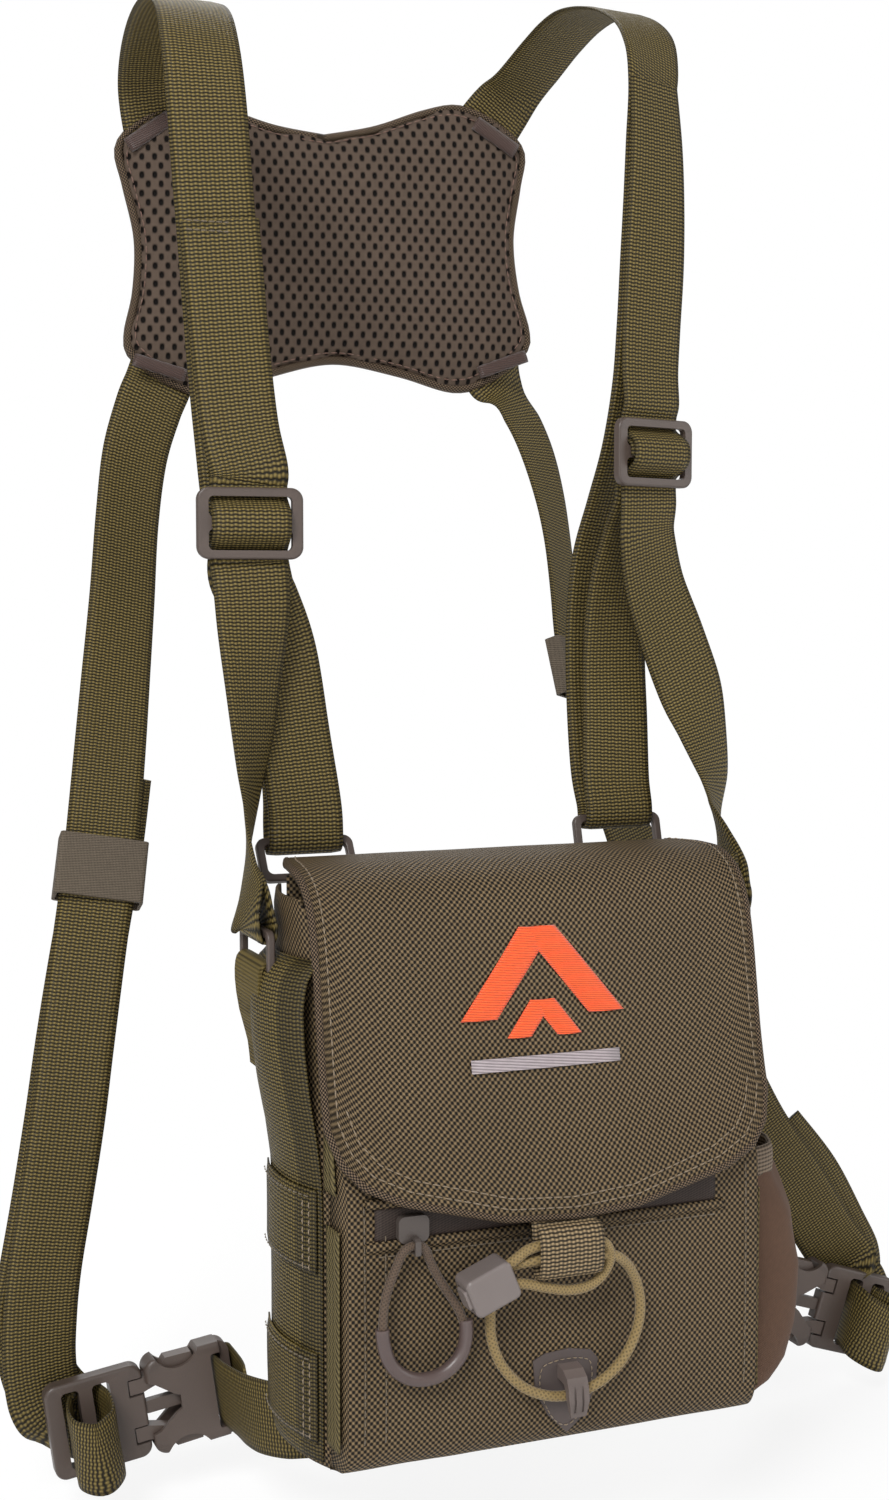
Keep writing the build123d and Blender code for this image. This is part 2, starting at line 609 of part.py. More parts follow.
left_buckle_strap = [
    (-62, -7.6, -93.2, 0, 90),
    (-68, -4.5, -93.6, 0, 90),
    (-73.5, 4, -94.5, 0, 90),
    (-76.2, 14, -95.6, 0, 94),
    (-77.4, 26, -96.6, 0, 98),
    (-78.1, 35, -97.3, 0, 98),
    (-78.3, 42, -97.4, 0, 98),
    (-77.6, 45.8, -97.2, 0, 98),
    (-74.7, 47.2, -96.9, 0, 98),
    (-71.8, 45.8, -96.6, 0, 98),
    (-71.4, 42, -96.5, 0, 98),
    (-72.0, 30, -96.4, 0, 96),
    (-73.8, 20, -95.6, 0, 94),
]
save("buckle_strap_left", webbing(left_buckle_strap))
right_buckle_strap = [
    (62, -7.6, -94, 0, 90),
    (70, -3, -94, 0, 90),
    (84, 4, -94, 0, 88),
    (104, 18, -94, 0, 82),
    (122, 32, -93.2, 0, 76),
    (132, 38.2, -92.6, 0, 71.5),
    (137.4, 41.0, -93.2, 0, 71.5),
    (140.8, 43.0, -94.2, 0, 71.5),
    (141.2, 46.4, -94.3, 0, 71.5),
    (140.4, 49.4, -94.2, 0, 71.5),
    (137.4, 50.6, -93.2, 0, 71.5),
    (131, 46.0, -92.6, 0, 73),
    (122, 37.6, -93.0, 0, 77),
]
save("buckle_strap_right", webbing(right_buckle_strap))

# ---- Lid ---------------------------------------------------------------------------------------------

lid_curve = [(-4.4, 91.4), (-14, 92.2), (-26, 92.4), (-37, 91.4), (-46, 87), (-52, 79), (-56, 66), (-59, 50), (-62, 34), (-66.5, 18), (-72.6, 6), (-77.6, -4), (-79.8, -13.5)]


def lid_layer(outside, inside, half, drop):
    """A layer of the lid between two depths under its outer line, cut to the lid's outline."""
    rows = smooth(lid_curve, 2)
    top = []
    under = []
    for i, (y, z) in enumerate(rows):
        ay, az = rows[min(i + 1, len(rows) - 1)]
        by, bz = rows[max(i - 1, 0)]
        size = math.hypot(ay - by, az - bz)
        ny = -(az - bz) / size
        nz = (ay - by) / size
        top.append((y + ny * outside, z + nz * outside))
        under.append((y + ny * inside, z + nz * inside))
    sheet = prism_x(top + list(reversed(under)), -half, half)
    hem = [(-half, 100), (-half, 18), (-half + 3, 9), (-half + 9, 2.5), (-half + 20, -2.5), (-half + 40, -7.5), (-22, -10.6), (0, -12 - drop)]
    front = prism_y(hem + [(-x, z) for x, z in reversed(hem[:-1])], -90, 10)
    back = [(-half + 7, 0), (-half + 6, -8), (-half + 1.5, -22), (-half, -34), (-half, -90)]
    plan = prism_z(back + [(-x, y) for x, y in reversed(back)], -30, 110)
    return sheet & front & plan


save("lid_shell", lid_layer(0, 2.4, LID_HALF, 0.6))
save("lid_lining", lid_layer(2.5, 3.5, LID_HALF - 1.5, 0))
TAB_X = -3.4
tab_fold = [
    (TAB_X, -76.6, -4, 0, 0),
    (TAB_X, -77.6, -9, 0, 0),
    (TAB_X, -78.6, -13.8, 0, 0),
    (TAB_X, -79.2, -18, 0, 0),
    (TAB_X, -79.3, -23, 0, 0),
    (TAB_X, -79.9, -26.8, 0, 0),
    (TAB_X, -82.0, -28.4, 0, 0),
    (TAB_X, -84.3, -26.8, 0, 0),
    (TAB_X, -85.1, -22, 0, 0),
    (TAB_X, -84.8, -16.8, 0, 0),
    (TAB_X, -83.3, -13.8, 0, 0),
    (TAB_X, -81.4, -13.0, 0, 0),
]
save("lid_tab", webbing(tab_fold, width=21, thick=1.1, steps=2))
emblem = prism_y([(-29, 46), (-2, 79), (25, 46), (14, 46), (-2, 65), (-18, 46)], -80, -40)
save("lid_emblem", lid_layer(-0.7, -0.1, 40, 0) & emblem)

# ---- Lid cord and its lock ------------------------------------------------------------------------------

cord_points = [
    (-28.6, -77.0, -28.8),
    (-22.4, -78.4, -24.8),
    (-16.2, -81.8, -22.6),
    (10.2, -82.2, -22.8),
    (17.6, -79.4, -28.0),
    (23.0, -76.8, -36.2),
    (24.6, -75.8, -47.0),
    (20.6, -75.0, -58.6),
    (11.6, -74.8, -66.6),
    (-0.6, -74.6, -69.6),
    (-12.6, -74.8, -66.2),
    (-21.6, -75.2, -58.0),
    (-26.2, -75.8, -47.6),
    (-27.0, -77.4, -37.0),
    (-27.4, -80.4, -30.6),
    (-19.4, -81.2, -28.8),
    (-10.6, -81.2, -31.6),
    (-2.4, -81.0, -33.8),
    (5.6, -81.0, -33.0),
    (10.6, -81.6, -27.4),
    (10.6, -82.2, -21.4),
    (5.6, -82.2, -17.9),
    (-15.2, -82.2, -17.9),
    (-20.4, -81.8, -21.4),
    (-25.6, -80.8, -25.2),
]


def widest_radii(points):
    """The largest arc at each turn that leaves a tenth of each run straight."""
    out = []
    for p, q, r in zip(points, points[1:], points[2:]):
        a = Vector(*q) - Vector(*p)
        b = Vector(*r) - Vector(*q)
        turn = math.radians(a.get_angle(b))
        out.append(math.floor(4.5 * min(a.length, b.length) / math.tan(turn / 2)) / 10)
    return out


save("shock_cord", tube(cord_points, widest_radii(cord_points), CORD_D, "shock_cord"))

LOCK = Pos(-28.5, -79.4, -29.2) * Rot(0, -22, 0)
case = fillet(Box(15.4, 10.4, 12.2).edges().filter_by(Axis.Y), 2)
case = fillet(case.edges().group_by(Axis.Y)[0], 1.2)
case = fillet(case.edges().group_by(Axis.Y)[-1], 1.2)
case = case - block(-2.6, 9, -4.3, 4.3, -4.8, 5.0) - block(-3.8, 2.6, -3.0, 4.3, -7, -4)
case = case - block(4, 9, -4.4, 4.4, -5.2, 5.5)
case = case - block(-9, -3.6, -3.4, 3.4, -3.4, 3.4)
save("cord_lock_barrel", LOCK * case)
save("cord_lock_plunger", LOCK * fillet(block(-8.5, -6.3, -3.1, 3.1, -3.1, 3.1).edges().filter_by(Axis.X), 1))
spring = Rot(0, 90, 0) * (Cylinder(2.4, 2.2) - Cylinder(1.6, 4))
save("cord_lock_spring", LOCK * (Pos(-4.95, 0, 0) * spring))

# ---- Zip slider and its corded pull -----------------------------------------------------------------------

SLIDER_X = -49.8
body = block(SLIDER_X - 4.8, SLIDER_X + 4.8, -73.8, -71.2, -15.4, -7.4)
body = fillet(body.edges().filter_by(Axis.Y), 2)
bail = prism_x([(-71.6, -13.2), (-76.4, -13.4), (-77.4, -14.2), (-77.4, -18.4), (-71.6, -18.4)], SLIDER_X - 0.9, SLIDER_X + 0.9)
bail = bail - prism_x([(-73.4, -14.2), (-76.6, -14.2), (-76.6, -17.6), (-73.4, -17.6)], SLIDER_X - 2, SLIDER_X + 2)
save("zip_slider", body + bail)
pull_points = [
    (-47.1, -76.0, -56.3),
    (-52.4, -76.0, -56.3),
    (-60.3, -76.0, -48.4),
    (-60.7, -76.0, -38.0),
    (-59.0, -74.4, -29.6),
    (-55.6, -74.0, -22.2),
    (-53.2, -75.0, -15.9),
    (-47.0, -75.0, -15.9),
    (-44.6, -74.0, -22.4),
    (-40.4, -73.6, -29.8),
    (-34.7, -74.6, -38.6),
    (-33.3, -76.0, -48.4),
    (-41.2, -76.0, -56.3),
    (-46.5, -76.0, -56.3),
]
save("pull_cord", tube(pull_points, widest_radii(pull_points), PULL_D, "pull_cord"))
grip_points = [(-60.6, -75.8, -39.4), (-60.3, -76.0, -48.4), (-52.4, -76.0, -56.3), (-41.2, -76.0, -56.3), (-33.3, -76.0, -48.4), (-33.8, -75.0, -40.4)]
save("pull_grip", tube(grip_points, widest_radii(grip_points), 4.2, "pull_grip"))
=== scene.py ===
"""Looks of the binocular harness pack: cloth, webbing, cords, stitching and hardware finishes.

Every piece is built in millimetres in the row frame (origin at the centre of the chest face,
+Y towards the wearer, +Z up) and written to the mesh in metres.
"""

import math

import bmesh
import bpy
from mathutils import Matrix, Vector, noise


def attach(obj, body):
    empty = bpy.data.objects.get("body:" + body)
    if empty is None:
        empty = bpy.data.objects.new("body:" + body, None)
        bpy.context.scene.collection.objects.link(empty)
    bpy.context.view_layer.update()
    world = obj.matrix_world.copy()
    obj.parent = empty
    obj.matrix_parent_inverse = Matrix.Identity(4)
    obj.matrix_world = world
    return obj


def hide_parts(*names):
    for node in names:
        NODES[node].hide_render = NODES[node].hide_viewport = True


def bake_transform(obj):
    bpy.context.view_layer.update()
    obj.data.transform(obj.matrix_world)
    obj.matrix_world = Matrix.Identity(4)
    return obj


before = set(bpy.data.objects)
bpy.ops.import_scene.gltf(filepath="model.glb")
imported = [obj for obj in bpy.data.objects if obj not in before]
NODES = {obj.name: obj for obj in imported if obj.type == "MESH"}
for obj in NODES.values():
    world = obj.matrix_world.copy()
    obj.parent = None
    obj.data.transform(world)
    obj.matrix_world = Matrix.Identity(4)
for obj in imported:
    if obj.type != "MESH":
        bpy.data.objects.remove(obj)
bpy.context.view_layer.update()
MM = 0.001
TAU = 2 * math.pi
SIM_FRAMES = 20
STUFFED_VOXEL = 4.0
STUFFING_PRESSURE = 4.0
WEB_W = 25.0
WEB_T = 1.3
SIDES = ((-1, "left"), (1, "right"))


def lerp(a, b, t):
    return a + (b - a) * t


def read_off(table, key):
    """A value from (key, value) rows in rising key order, held level past the ends."""
    for (ka, va), (kb, vb) in zip(table, table[1:]):
        if key <= kb:
            return lerp(va, vb, max(0.0, (key - ka) / (kb - ka)))
    return table[-1][1]


def bent(value, power):
    """A value raised to a power with its sign kept."""
    return math.copysign(abs(value) ** power, value)


# ---- Camera, floor and light ---------------------------------------------------------------------

CAMERA_AT = Vector((-257.5, -611.7, 173.4))
CAMERA_TOWARDS = Vector((0.3736, 0.9246, -0.0748))
FLOOR_Z = -135.0
AMBIENT = 0.4


def add_camera():
    data = bpy.data.cameras.new("camera")
    data.lens = 48
    data.sensor_width = 36
    obj = bpy.data.objects.new("camera", data)
    bpy.context.scene.collection.objects.link(obj)
    obj.location = CAMERA_AT * MM
    obj.rotation_euler = CAMERA_TOWARDS.to_track_quat("-Z", "Y").to_euler()
    bpy.context.scene.camera = obj


def add_light(name, at, size, watts, towards=(0, 0, 80)):
    data = bpy.data.lights.new(name, "AREA")
    data.shape = "DISK"
    data.size = size
    data.energy = watts
    obj = bpy.data.objects.new(name, data)
    bpy.context.scene.collection.objects.link(obj)
    obj.location = Vector(at) * MM
    obj.rotation_euler = (Vector(towards) - Vector(at)).to_track_quat("-Z", "Y").to_euler()


def floor_paint():
    """Pale paint that fades into the lit room away from the pack."""
    paint = bpy.data.materials.new("floor_paint")
    paint.use_nodes = True
    tree = paint.node_tree
    surface = tree.nodes["Principled BSDF"]
    surface.inputs["Base Color"].default_value = (0.9, 0.9, 0.9, 1)
    surface.inputs["Roughness"].default_value = 0.9
    glow = tree.nodes.new("ShaderNodeEmission")
    seen = tree.nodes.new("ShaderNodeLightPath")
    place = tree.nodes.new("ShaderNodeTexCoord")
    reach = tree.nodes.new("ShaderNodeVectorMath")
    reach.operation = "LENGTH"
    fade = tree.nodes.new("ShaderNodeMapRange")
    fade.interpolation_type = "SMOOTHSTEP"
    fade.inputs["From Min"].default_value = 0.1
    fade.inputs["From Max"].default_value = 0.55
    fade.inputs["To Min"].default_value = 0.8
    both = tree.nodes.new("ShaderNodeMath")
    both.operation = "MULTIPLY"
    mix = tree.nodes.new("ShaderNodeMixShader")
    tree.links.new(place.outputs["Object"], reach.inputs[0])
    tree.links.new(reach.outputs["Value"], fade.inputs["Value"])
    tree.links.new(fade.outputs[0], both.inputs[0])
    tree.links.new(seen.outputs["Is Camera Ray"], both.inputs[1])
    tree.links.new(both.outputs[0], mix.inputs[0])
    tree.links.new(surface.outputs[0], mix.inputs[1])
    tree.links.new(glow.outputs[0], mix.inputs[2])
    tree.links.new(mix.outputs[0], tree.nodes["Material Output"].inputs["Surface"])
    return paint


def add_studio():
    world = bpy.data.worlds.new("studio")
    world.use_nodes = True
    sky = world.node_tree.nodes["Background"]
    sky.inputs["Color"].default_value = (1.0, 1.0, 1.0, 1)
    seen = world.node_tree.nodes.new("ShaderNodeLightPath")
    gain = world.node_tree.nodes.new("ShaderNodeMapRange")
    gain.inputs["To Min"].default_value = AMBIENT
    gain.inputs["To Max"].default_value = 1.0
    world.node_tree.links.new(seen.outputs["Is Camera Ray"], gain.inputs["Value"])
    world.node_tree.links.new(gain.outputs[0], sky.inputs["Strength"])
    bpy.context.scene.world = world
    add_light("key", (-1150, -1350, 1500), 0.9, 44)
    add_light("fill", (1500, -900, 700), 1.4, 10)
    add_light("rim", (300, 1500, 1400), 1.2, 16)
    add_light("low", (-300, -1200, -60), 1.2, 5)
    bpy.context.scene.view_settings.view_transform = "Standard"
    mesh = bpy.data.meshes.new("floor")
    edge = 9.0
    z = FLOOR_Z * MM
    corners = [(-edge, -edge, z), (edge, -edge, z), (edge, edge, z), (-edge, edge, z)]
    mesh.from_pydata(corners, [], [(0, 1, 2, 3)])
    floor = bpy.data.objects.new("floor", mesh)
    bpy.context.scene.collection.objects.link(floor)
    mesh.materials.append(floor_paint())


add_camera()
add_studio()

# ---- Materials -------------------------------------------------------------------------------------


class Finish:
    """A node material built with plain arithmetic on its coordinates."""

    def __init__(self, name, roughness, specular, sheen=0.0):
        self.mat = bpy.data.materials.new(name)
        self.mat.use_nodes = True
        self.tree = self.mat.node_tree
        self.shader = self.tree.nodes["Principled BSDF"]
        self.shader.inputs["Roughness"].default_value = roughness
        self.shader.inputs["Specular IOR Level"].default_value = specular
        if sheen:
            self.shader.inputs["Sheen Weight"].default_value = sheen
            self.shader.inputs["Sheen Roughness"].default_value = 0.5

    def node(self, kind, **settings):
        made = self.tree.nodes.new(kind)
        for key, value in settings.items():
            setattr(made, key, value)
        return made

    def feed(self, socket, value):
        if isinstance(value, bpy.types.NodeSocket):
            self.tree.links.new(value, socket)
        else:
            socket.default_value = value

    def math(self, operation, a, b=None, c=None):
        made = self.node("ShaderNodeMath", operation=operation)
        for socket, value in zip(made.inputs, (a, b, c)):
            if value is not None:
                self.feed(socket, value)
        return made.outputs[0]

    def times(self, a, b):
        return self.math("MULTIPLY", a, b)

    def scaled(self, value, gain, start):
        """The value times a gain, plus a start."""
        return self.math("MULTIPLY_ADD", value, gain, start)

    def cosine(self, value, pitch):
        """A cosine from -1 to 1 with the given pitch."""
        return self.math("COSINE", self.times(value, TAU / pitch))

    def plane(self, source="UV"):
        """Two coordinates in millimetres: a piece's own cloth map, or its place in the frame."""
        parts = self.node("ShaderNodeSeparateXYZ")
        if source == "UV":
            self.feed(parts.inputs[0], self.node("ShaderNodeUVMap", uv_map="cloth").outputs[0])
            pair = (parts.outputs[0], parts.outputs[1])
        else:
            self.feed(parts.inputs[0], self.node("ShaderNodeTexCoord").outputs["Object"])
            pair = (parts.outputs[0], parts.outputs[2])
        return [self.times(p, 1 / MM) for p in pair]

    def wave(self, value, pitch):
        """A cosine from 0 to 1 with the given pitch in millimetres."""
        return self.scaled(self.cosine(value, pitch), 0.5, 0.5)

    def speckle(self, scale, detail):
        """Noise over the piece's place in the frame."""
        made = self.node("ShaderNodeTexNoise")
        made.inputs["Scale"].default_value = scale
        made.inputs["Detail"].default_value = detail
        self.feed(made.inputs["Vector"], self.node("ShaderNodeTexCoord").outputs["Object"])
        return made.outputs[0]

    def shades(self, value, colour, *stops):
        """Shades of a colour by height: stops of (position, gain)."""
        made = self.node("ShaderNodeValToRGB")
        marks = made.color_ramp.elements
        while len(marks) < len(stops):
            marks.new(0.5)
        for mark, (position, gain) in zip(marks, stops):
            mark.position = position
            mark.color = (*shade(colour, gain), 1)
        self.feed(made.inputs[0], value)
        return made.outputs[0]

    def vary(self, colour, value, amount):
        """A colour made lighter and darker by a value about one half."""
        made = self.node("ShaderNodeVectorMath", operation="SCALE")
        self.feed(made.inputs[0], colour)
        self.feed(made.inputs["Scale"], self.scaled(value, 2 * amount, 1 - amount))
        return made.outputs[0]

    def mottle(self, colour, *grades):
        """A colour varied by noise at each grade of (scale, detail, amount)."""
        for scale, detail, amount in grades:
            colour = self.vary(colour, self.speckle(scale, detail), amount)
        return colour

    def done(self, colour, height, depth, strength=1.0, roughness=None):
        """The finished material, with a bump of a depth in millimetres."""
        self.feed(self.shader.inputs["Base Color"], colour)
        bump = self.node("ShaderNodeBump")
        bump.inputs["Strength"].default_value = strength
        bump.inputs["Distance"].default_value = depth * MM
        self.feed(bump.inputs["Height"], height)
        self.feed(self.shader.inputs["Normal"], bump.outputs[0])
        if roughness is not None:
            self.feed(self.shader.inputs["Roughness"], roughness)
        return self.mat


def shade(colour, gain):
    return tuple(min(1.0, c * gain) for c in colour)


def basket_cloth(name, colour, pitch=(1.9, 2.1)):
    """Coarse nylon: staggered raised floats with dark gaps between them."""
    f = Finish(name, roughness=0.6, specular=0.2)
    u, v = f.plane()
    wander = f.times(f.speckle(160.0, 2.0), 0.5)
    across = f.cosine(f.math("ADD", u, wander), pitch[0])
    up = f.cosine(f.math("ADD", v, wander), pitch[1])
    height = f.scaled(f.times(across, up), 0.5, 0.5)
    threads = f.wave(v, 0.3)
    tall = f.scaled(threads, 0.1, f.math("SMOOTH_MIN", height, 0.72, 0.3))
    paint = f.shades(height, colour, (0.0, 0.02), (0.34, 0.1), (0.5, 0.8), (0.7, 1.5), (1.0, 2.3))
    paint = f.mottle(f.vary(paint, threads, 0.1), (900.0, 2.0, 0.16), (26.0, 3.0, 0.12))
    return f.done(paint, tall, depth=0.5)


def rib_webbing(name, colour, row=1.2, column=1.35):
    """Woven tape: rows across it, each a line of small loops."""
    f = Finish(name, roughness=0.55, specular=0.22)
    u, v = f.plane()
    sway = f.times(f.cosine(u, 2 * column), 0.09 * row)
    rows = f.wave(f.math("ADD", v, sway), row)
    loops = f.wave(u, column)
    height = f.times(f.math("POWER", rows, 0.6), f.scaled(loops, 0.5, 0.5))
    paint = f.shades(height, colour, (0.0, 0.04), (0.3, 0.25), (0.6, 1.1), (1.0, 2.1))
    selvedge = f.math("GREATER_THAN", f.math("ABSOLUTE", u), 0.93 * WEB_W / 2)
    paint = f.vary(paint, f.scaled(selvedge, -0.4, 0.5), 0.5)
    paint = f.mottle(paint, (700.0, 2.0, 0.14), (18.0, 3.0, 0.1))
    return f.done(paint, height, depth=0.3)


def spacer_mesh(name, colour, pitch=(4.4, 6.6)):
    """Knitted spacer: staggered oval holes in a smooth face."""
    f = Finish(name, roughness=0.75, specular=0.12)
    u, v = f.plane()
    hole = f.math("MAXIMUM", f.times(f.cosine(u, pitch[0]), f.cosine(v, pitch[1])), 0.0)
    face = f.math("SUBTRACT", 1.0, hole)
    fine = f.wave(f.math("ADD", u, v), 0.8)
    paint = f.shades(face, colour, (0.0, 0.06), (0.42, 0.08), (0.56, 0.75), (0.8, 1.15), (1.0, 1.45))
    paint = f.mottle(f.vary(paint, fine, 0.07), (500.0, 2.0, 0.18), (22.0, 2.0, 0.1))
    tall = f.scaled(fine, 0.05, f.math("SMOOTH_MIN", face, 0.75, 0.2))
    return f.done(paint, tall, depth=1.1)


def fine_cloth(name, colour, pitch, slant=0.0, source="UV", roughness=0.7, depth=0.12, contrast=0.3):
    """Fine diagonal or straight ribs, for stretch cloth, twill tape, elastic and knitting."""
    f = Finish(name, roughness=roughness, specular=0.18)
    u, v = f.plane(source)
    line = f.scaled(u, slant, v)
    height = f.scaled(f.wave(u, pitch * 1.3), 0.25, f.times(f.wave(line, pitch), 0.75))
    paint = f.shades(height, colour, (0.0, 1 - 2 * contrast), (0.5, 1.0), (1.0, 1 + contrast))
    paint = f.mottle(paint, (600.0, 2.0, 0.14), (24.0, 3.0, 0.1))
    return f.done(paint, height, depth=depth)


def moulded(name, colour, roughness=0.42):
    """Satin moulded nylon with a fine spark-eroded grain and paler worn edges."""
    f = Finish(name, roughness=roughness, specular=0.45)
    grains = f.speckle(2600.0, 2.0)
    cloud = f.speckle(60.0, 3.0)
    point = f.node("ShaderNodeNewGeometry").outputs["Pointiness"]
    worn = f.times(f.math("SUBTRACT", point, 0.5), 4.0)
    paint = f.vary(colour, cloud, 0.1)
    paint = f.vary(paint, f.math("ADD", f.math("MAXIMUM", worn, 0.0), 0.45), 0.3)
    paint = f.vary(paint, grains, 0.07)
    rough = f.scaled(cloud, 0.16, roughness - 0.08)
    return f.done(paint, grains, depth=0.05, strength=0.6, roughness=rough)


def braided(name, colour, length, pitch, yarns=6.0):
    """Braided sheath: two sets of slanted yarns round the cord."""
    f = Finish(name, roughness=0.6, specular=0.3, sheen=0.15)
    parts = f.node("ShaderNodeSeparateXYZ")
    f.feed(parts.inputs[0], f.node("ShaderNodeTexCoord").outputs["UV"])
    turns = f.times(parts.outputs[1], yarns)
    along = f.times(parts.outputs[0], length / pitch)
    one = f.cosine(f.math("ADD", along, turns), 1.0)
    two = f.cosine(f.math("SUBTRACT", along, turns), 1.0)
    height = f.scaled(f.math("MAXIMUM", one, two), 0.5, 0.5)
    paint = f.shades(height, colour, (0.0, 0.45), (0.6, 1.0), (1.0, 1.25))
    return f.done(f.mottle(paint, (900.0, 2.0, 0.15)), height, depth=0.12)


def thread(name, colour, pitch=0.0):
    """Sewing or embroidery thread; a pitch lays satin stitches across the piece."""
    f = Finish(name, roughness=0.45, specular=0.45, sheen=0.2)
    if pitch:
        u, v = f.plane()
        height = f.math("POWER", f.wave(f.scaled(u, 0.12, v), pitch), 0.6)
    else:
        height = f.speckle(3000.0, 2.0)
    paint = f.shades(height, colour, (0.0, 0.5), (0.55, 1.0), (1.0, 1.2))
    return f.done(f.mottle(paint, (500.0, 2.0, 0.14)), height, depth=0.18)


KHAKI = (0.098, 0.072, 0.022)
CLOTH = (0.094, 0.065, 0.034)
ELASTIC = (0.098, 0.078, 0.057)
EMBLEM_PITCH = 0.9
RECIPES = {
    "pack_cloth": (basket_cloth, CLOTH),
    "binding": (basket_cloth, (0.085, 0.058, 0.036), {"pitch": (1.1, 1.3)}),
    "mesh": (spacer_mesh, (0.056, 0.040, 0.030)),
    "webbing": (rib_webbing, KHAKI),
    "side_webbing": (rib_webbing, shade(KHAKI, 0.95)),
    "tab_webbing": (rib_webbing, (0.165, 0.118, 0.064)),
    "webbing_cad": (fine_cloth, KHAKI, {"pitch": 1.2, "depth": 0.25, "contrast": 0.36, "source": "Object"}),
    "elastic_cad": (fine_cloth, ELASTIC, {"pitch": 0.8, "depth": 0.16, "contrast": 0.22, "source": "Object"}),
    "lining": (fine_cloth, (0.06, 0.044, 0.026), {"pitch": 0.9}),
    "twill": (fine_cloth, (0.105, 0.082, 0.034), {"pitch": 2.0, "slant": 1.0, "depth": 0.4, "contrast": 0.5}),
    "stretch": (fine_cloth, (0.092, 0.050, 0.031),
                {"pitch": 0.55, "slant": 0.6, "depth": 0.06, "contrast": 0.12}),
    "knit": (fine_cloth, (0.16, 0.12, 0.085), {"pitch": 1.3, "depth": 0.3, "contrast": 0.4}),
    "zip_tape": (fine_cloth, (0.034, 0.024, 0.020),
                 {"pitch": 0.8, "slant": 0.4, "roughness": 0.5, "depth": 0.05}),
    "plastic": (moulded, (0.062, 0.045, 0.037)),
    "lock_plastic": (moulded, (0.15, 0.125, 0.117), {"roughness": 0.36}),
    "hook_plastic": (moulded, (0.085, 0.066, 0.059)),
    "patch": (moulded, (0.048, 0.036, 0.033), {"roughness": 0.55}),
    "grip": (moulded, (0.072, 0.050, 0.046), {"roughness": 0.32}),
    "zip_metal": (moulded, (0.050, 0.040, 0.035), {"roughness": 0.35}),
    "steel": (moulded, (0.35, 0.34, 0.33), {"roughness": 0.3}),
    "shock_cord": (braided, (0.185, 0.128, 0.05), {"length": 240.0, "pitch": 1.5}),
    "pull_cord": (braided, (0.07, 0.045, 0.029), {"length": 108.0, "pitch": 1.3}),
    "thread_pale": (thread, (0.21, 0.155, 0.095)),
    "thread_dull": (thread, (0.12, 0.09, 0.055)),
    "bartack": (thread, (0.045, 0.021, 0.015), {"pitch": 0.6}),
    "bartack_thread": (thread, (0.15, 0.075, 0.05)),
    "emblem": (thread, (0.80, 0.085, 0.012), {"pitch": EMBLEM_PITCH}),
    "emblem_grey": (thread, (0.30, 0.255, 0.265), {"pitch": EMBLEM_PITCH}),
}
MAT = {name: make(name, colour, **dict(*extra)) for name, (make, colour, *extra) in RECIPES.items()}

# ---- Mesh helpers ------------------------------------------------------------------------------------


def smooth(rows, steps):
    """Rows of numbers with Catmull-Rom rows added between them."""
    out = []
    for i in range(len(rows) - 1):
        a = rows[max(i - 1, 0)]
        b = rows[i]
        c = rows[i + 1]
        d = rows[min(i + 2, len(rows) - 1)]
        for k in range(steps):
            t = k / steps
            row = []
            for p, q, r, s in zip(a, b, c, d):
                bend = (2 * p - 5 * q + 4 * r - s) * t * t + (3 * q - p - 3 * r + s) * t ** 3
                row.append(q + 0.5 * ((r - p) * t + bend))
            out.append(row)
    out.append(list(rows[-1]))
    return out


def piece(name, points, faces, uvs, finish, body="pack", replaces=()):
    """A mesh from millimetre points, its cloth map, finish and body, hiding the parts it replaces. One uv per
    point.
    """
    mesh = bpy.data.meshes.new(name)
    mesh.from_pydata([tuple(c * MM for c in p) for p in points], [], faces)
    mesh.validate()
    if uvs:
        layer = mesh.uv_layers.new(name="cloth")
        for loop in mesh.loops:
            u, v = uvs[loop.vertex_index]
            layer.data[loop.index].uv = (u * MM, v * MM)
    mesh.materials.append(MAT[finish])
    bm = bmesh.new()
    bm.from_mesh(mesh)
    bmesh.ops.recalc_face_normals(bm, faces=bm.faces)
    bm.to_mesh(mesh)
    bm.free()
    mesh.shade_smooth()
    obj = bpy.data.objects.new(name, mesh)
    bpy.context.scene.collection.objects.link(obj)
    if body:
        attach(obj, body)
    if replaces:
        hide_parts(*replaces)
    return obj


def normals_of(grid):
    """Unit normals of a grid of points, from its own rows and columns."""
    ni, nj = len(grid), len(grid[0])
    out = []
    for i in range(ni):
        row = []
        for j in range(nj):
            a = grid[min(i + 1, ni - 1)][j] - grid[max(i - 1, 0)][j]
            b = grid[i][min(j + 1, nj - 1)] - grid[i][max(j - 1, 0)]
            n = a.cross(b)
            row.append(n.normalized() if n.length > 1e-9 else Vector((0, -1, 0)))
        out.append(row)
    return out


def cloth_map(grid):
    """Lengths along the rows and columns of a grid, the rows measured from the middle."""
    ni, nj = len(grid), len(grid[0])
    mid = ni // 2
    down = [0.0]
    for j in range(1, nj):
        down.append(down[-1] + (grid[mid][j] - grid[mid][j - 1]).length)
    uv = [[(0.0, 0.0)] * nj for i in range(ni)]
    for j in range(nj):
        run = [0.0]
        for i in range(1, ni):
            run.append(run[-1] + (grid[i][j] - grid[i - 1][j]).length)
        for i in range(ni):
            uv[i][j] = (run[i] - run[mid], down[j])
    return uv


def tube_faces(rings, sides, base=0, closed=False):
    """Faces between rings of points, with a cap at each end where the tube isn't closed."""
    faces = []
    for r in range(rings if closed else rings - 1):
        here, ahead = base + r * sides, base + (r + 1) % rings * sides
        for m in range(sides):
            following = (m + 1) % sides
            faces.append((here + m, here + following, ahead + following, ahead + m))
    if not closed:
        faces += [tuple(base + end * sides + m for m in range(sides)) for end in (0, rings - 1)]
    return faces


EDGE_THINNING = 0.28
SAG_SCALE = 0.045


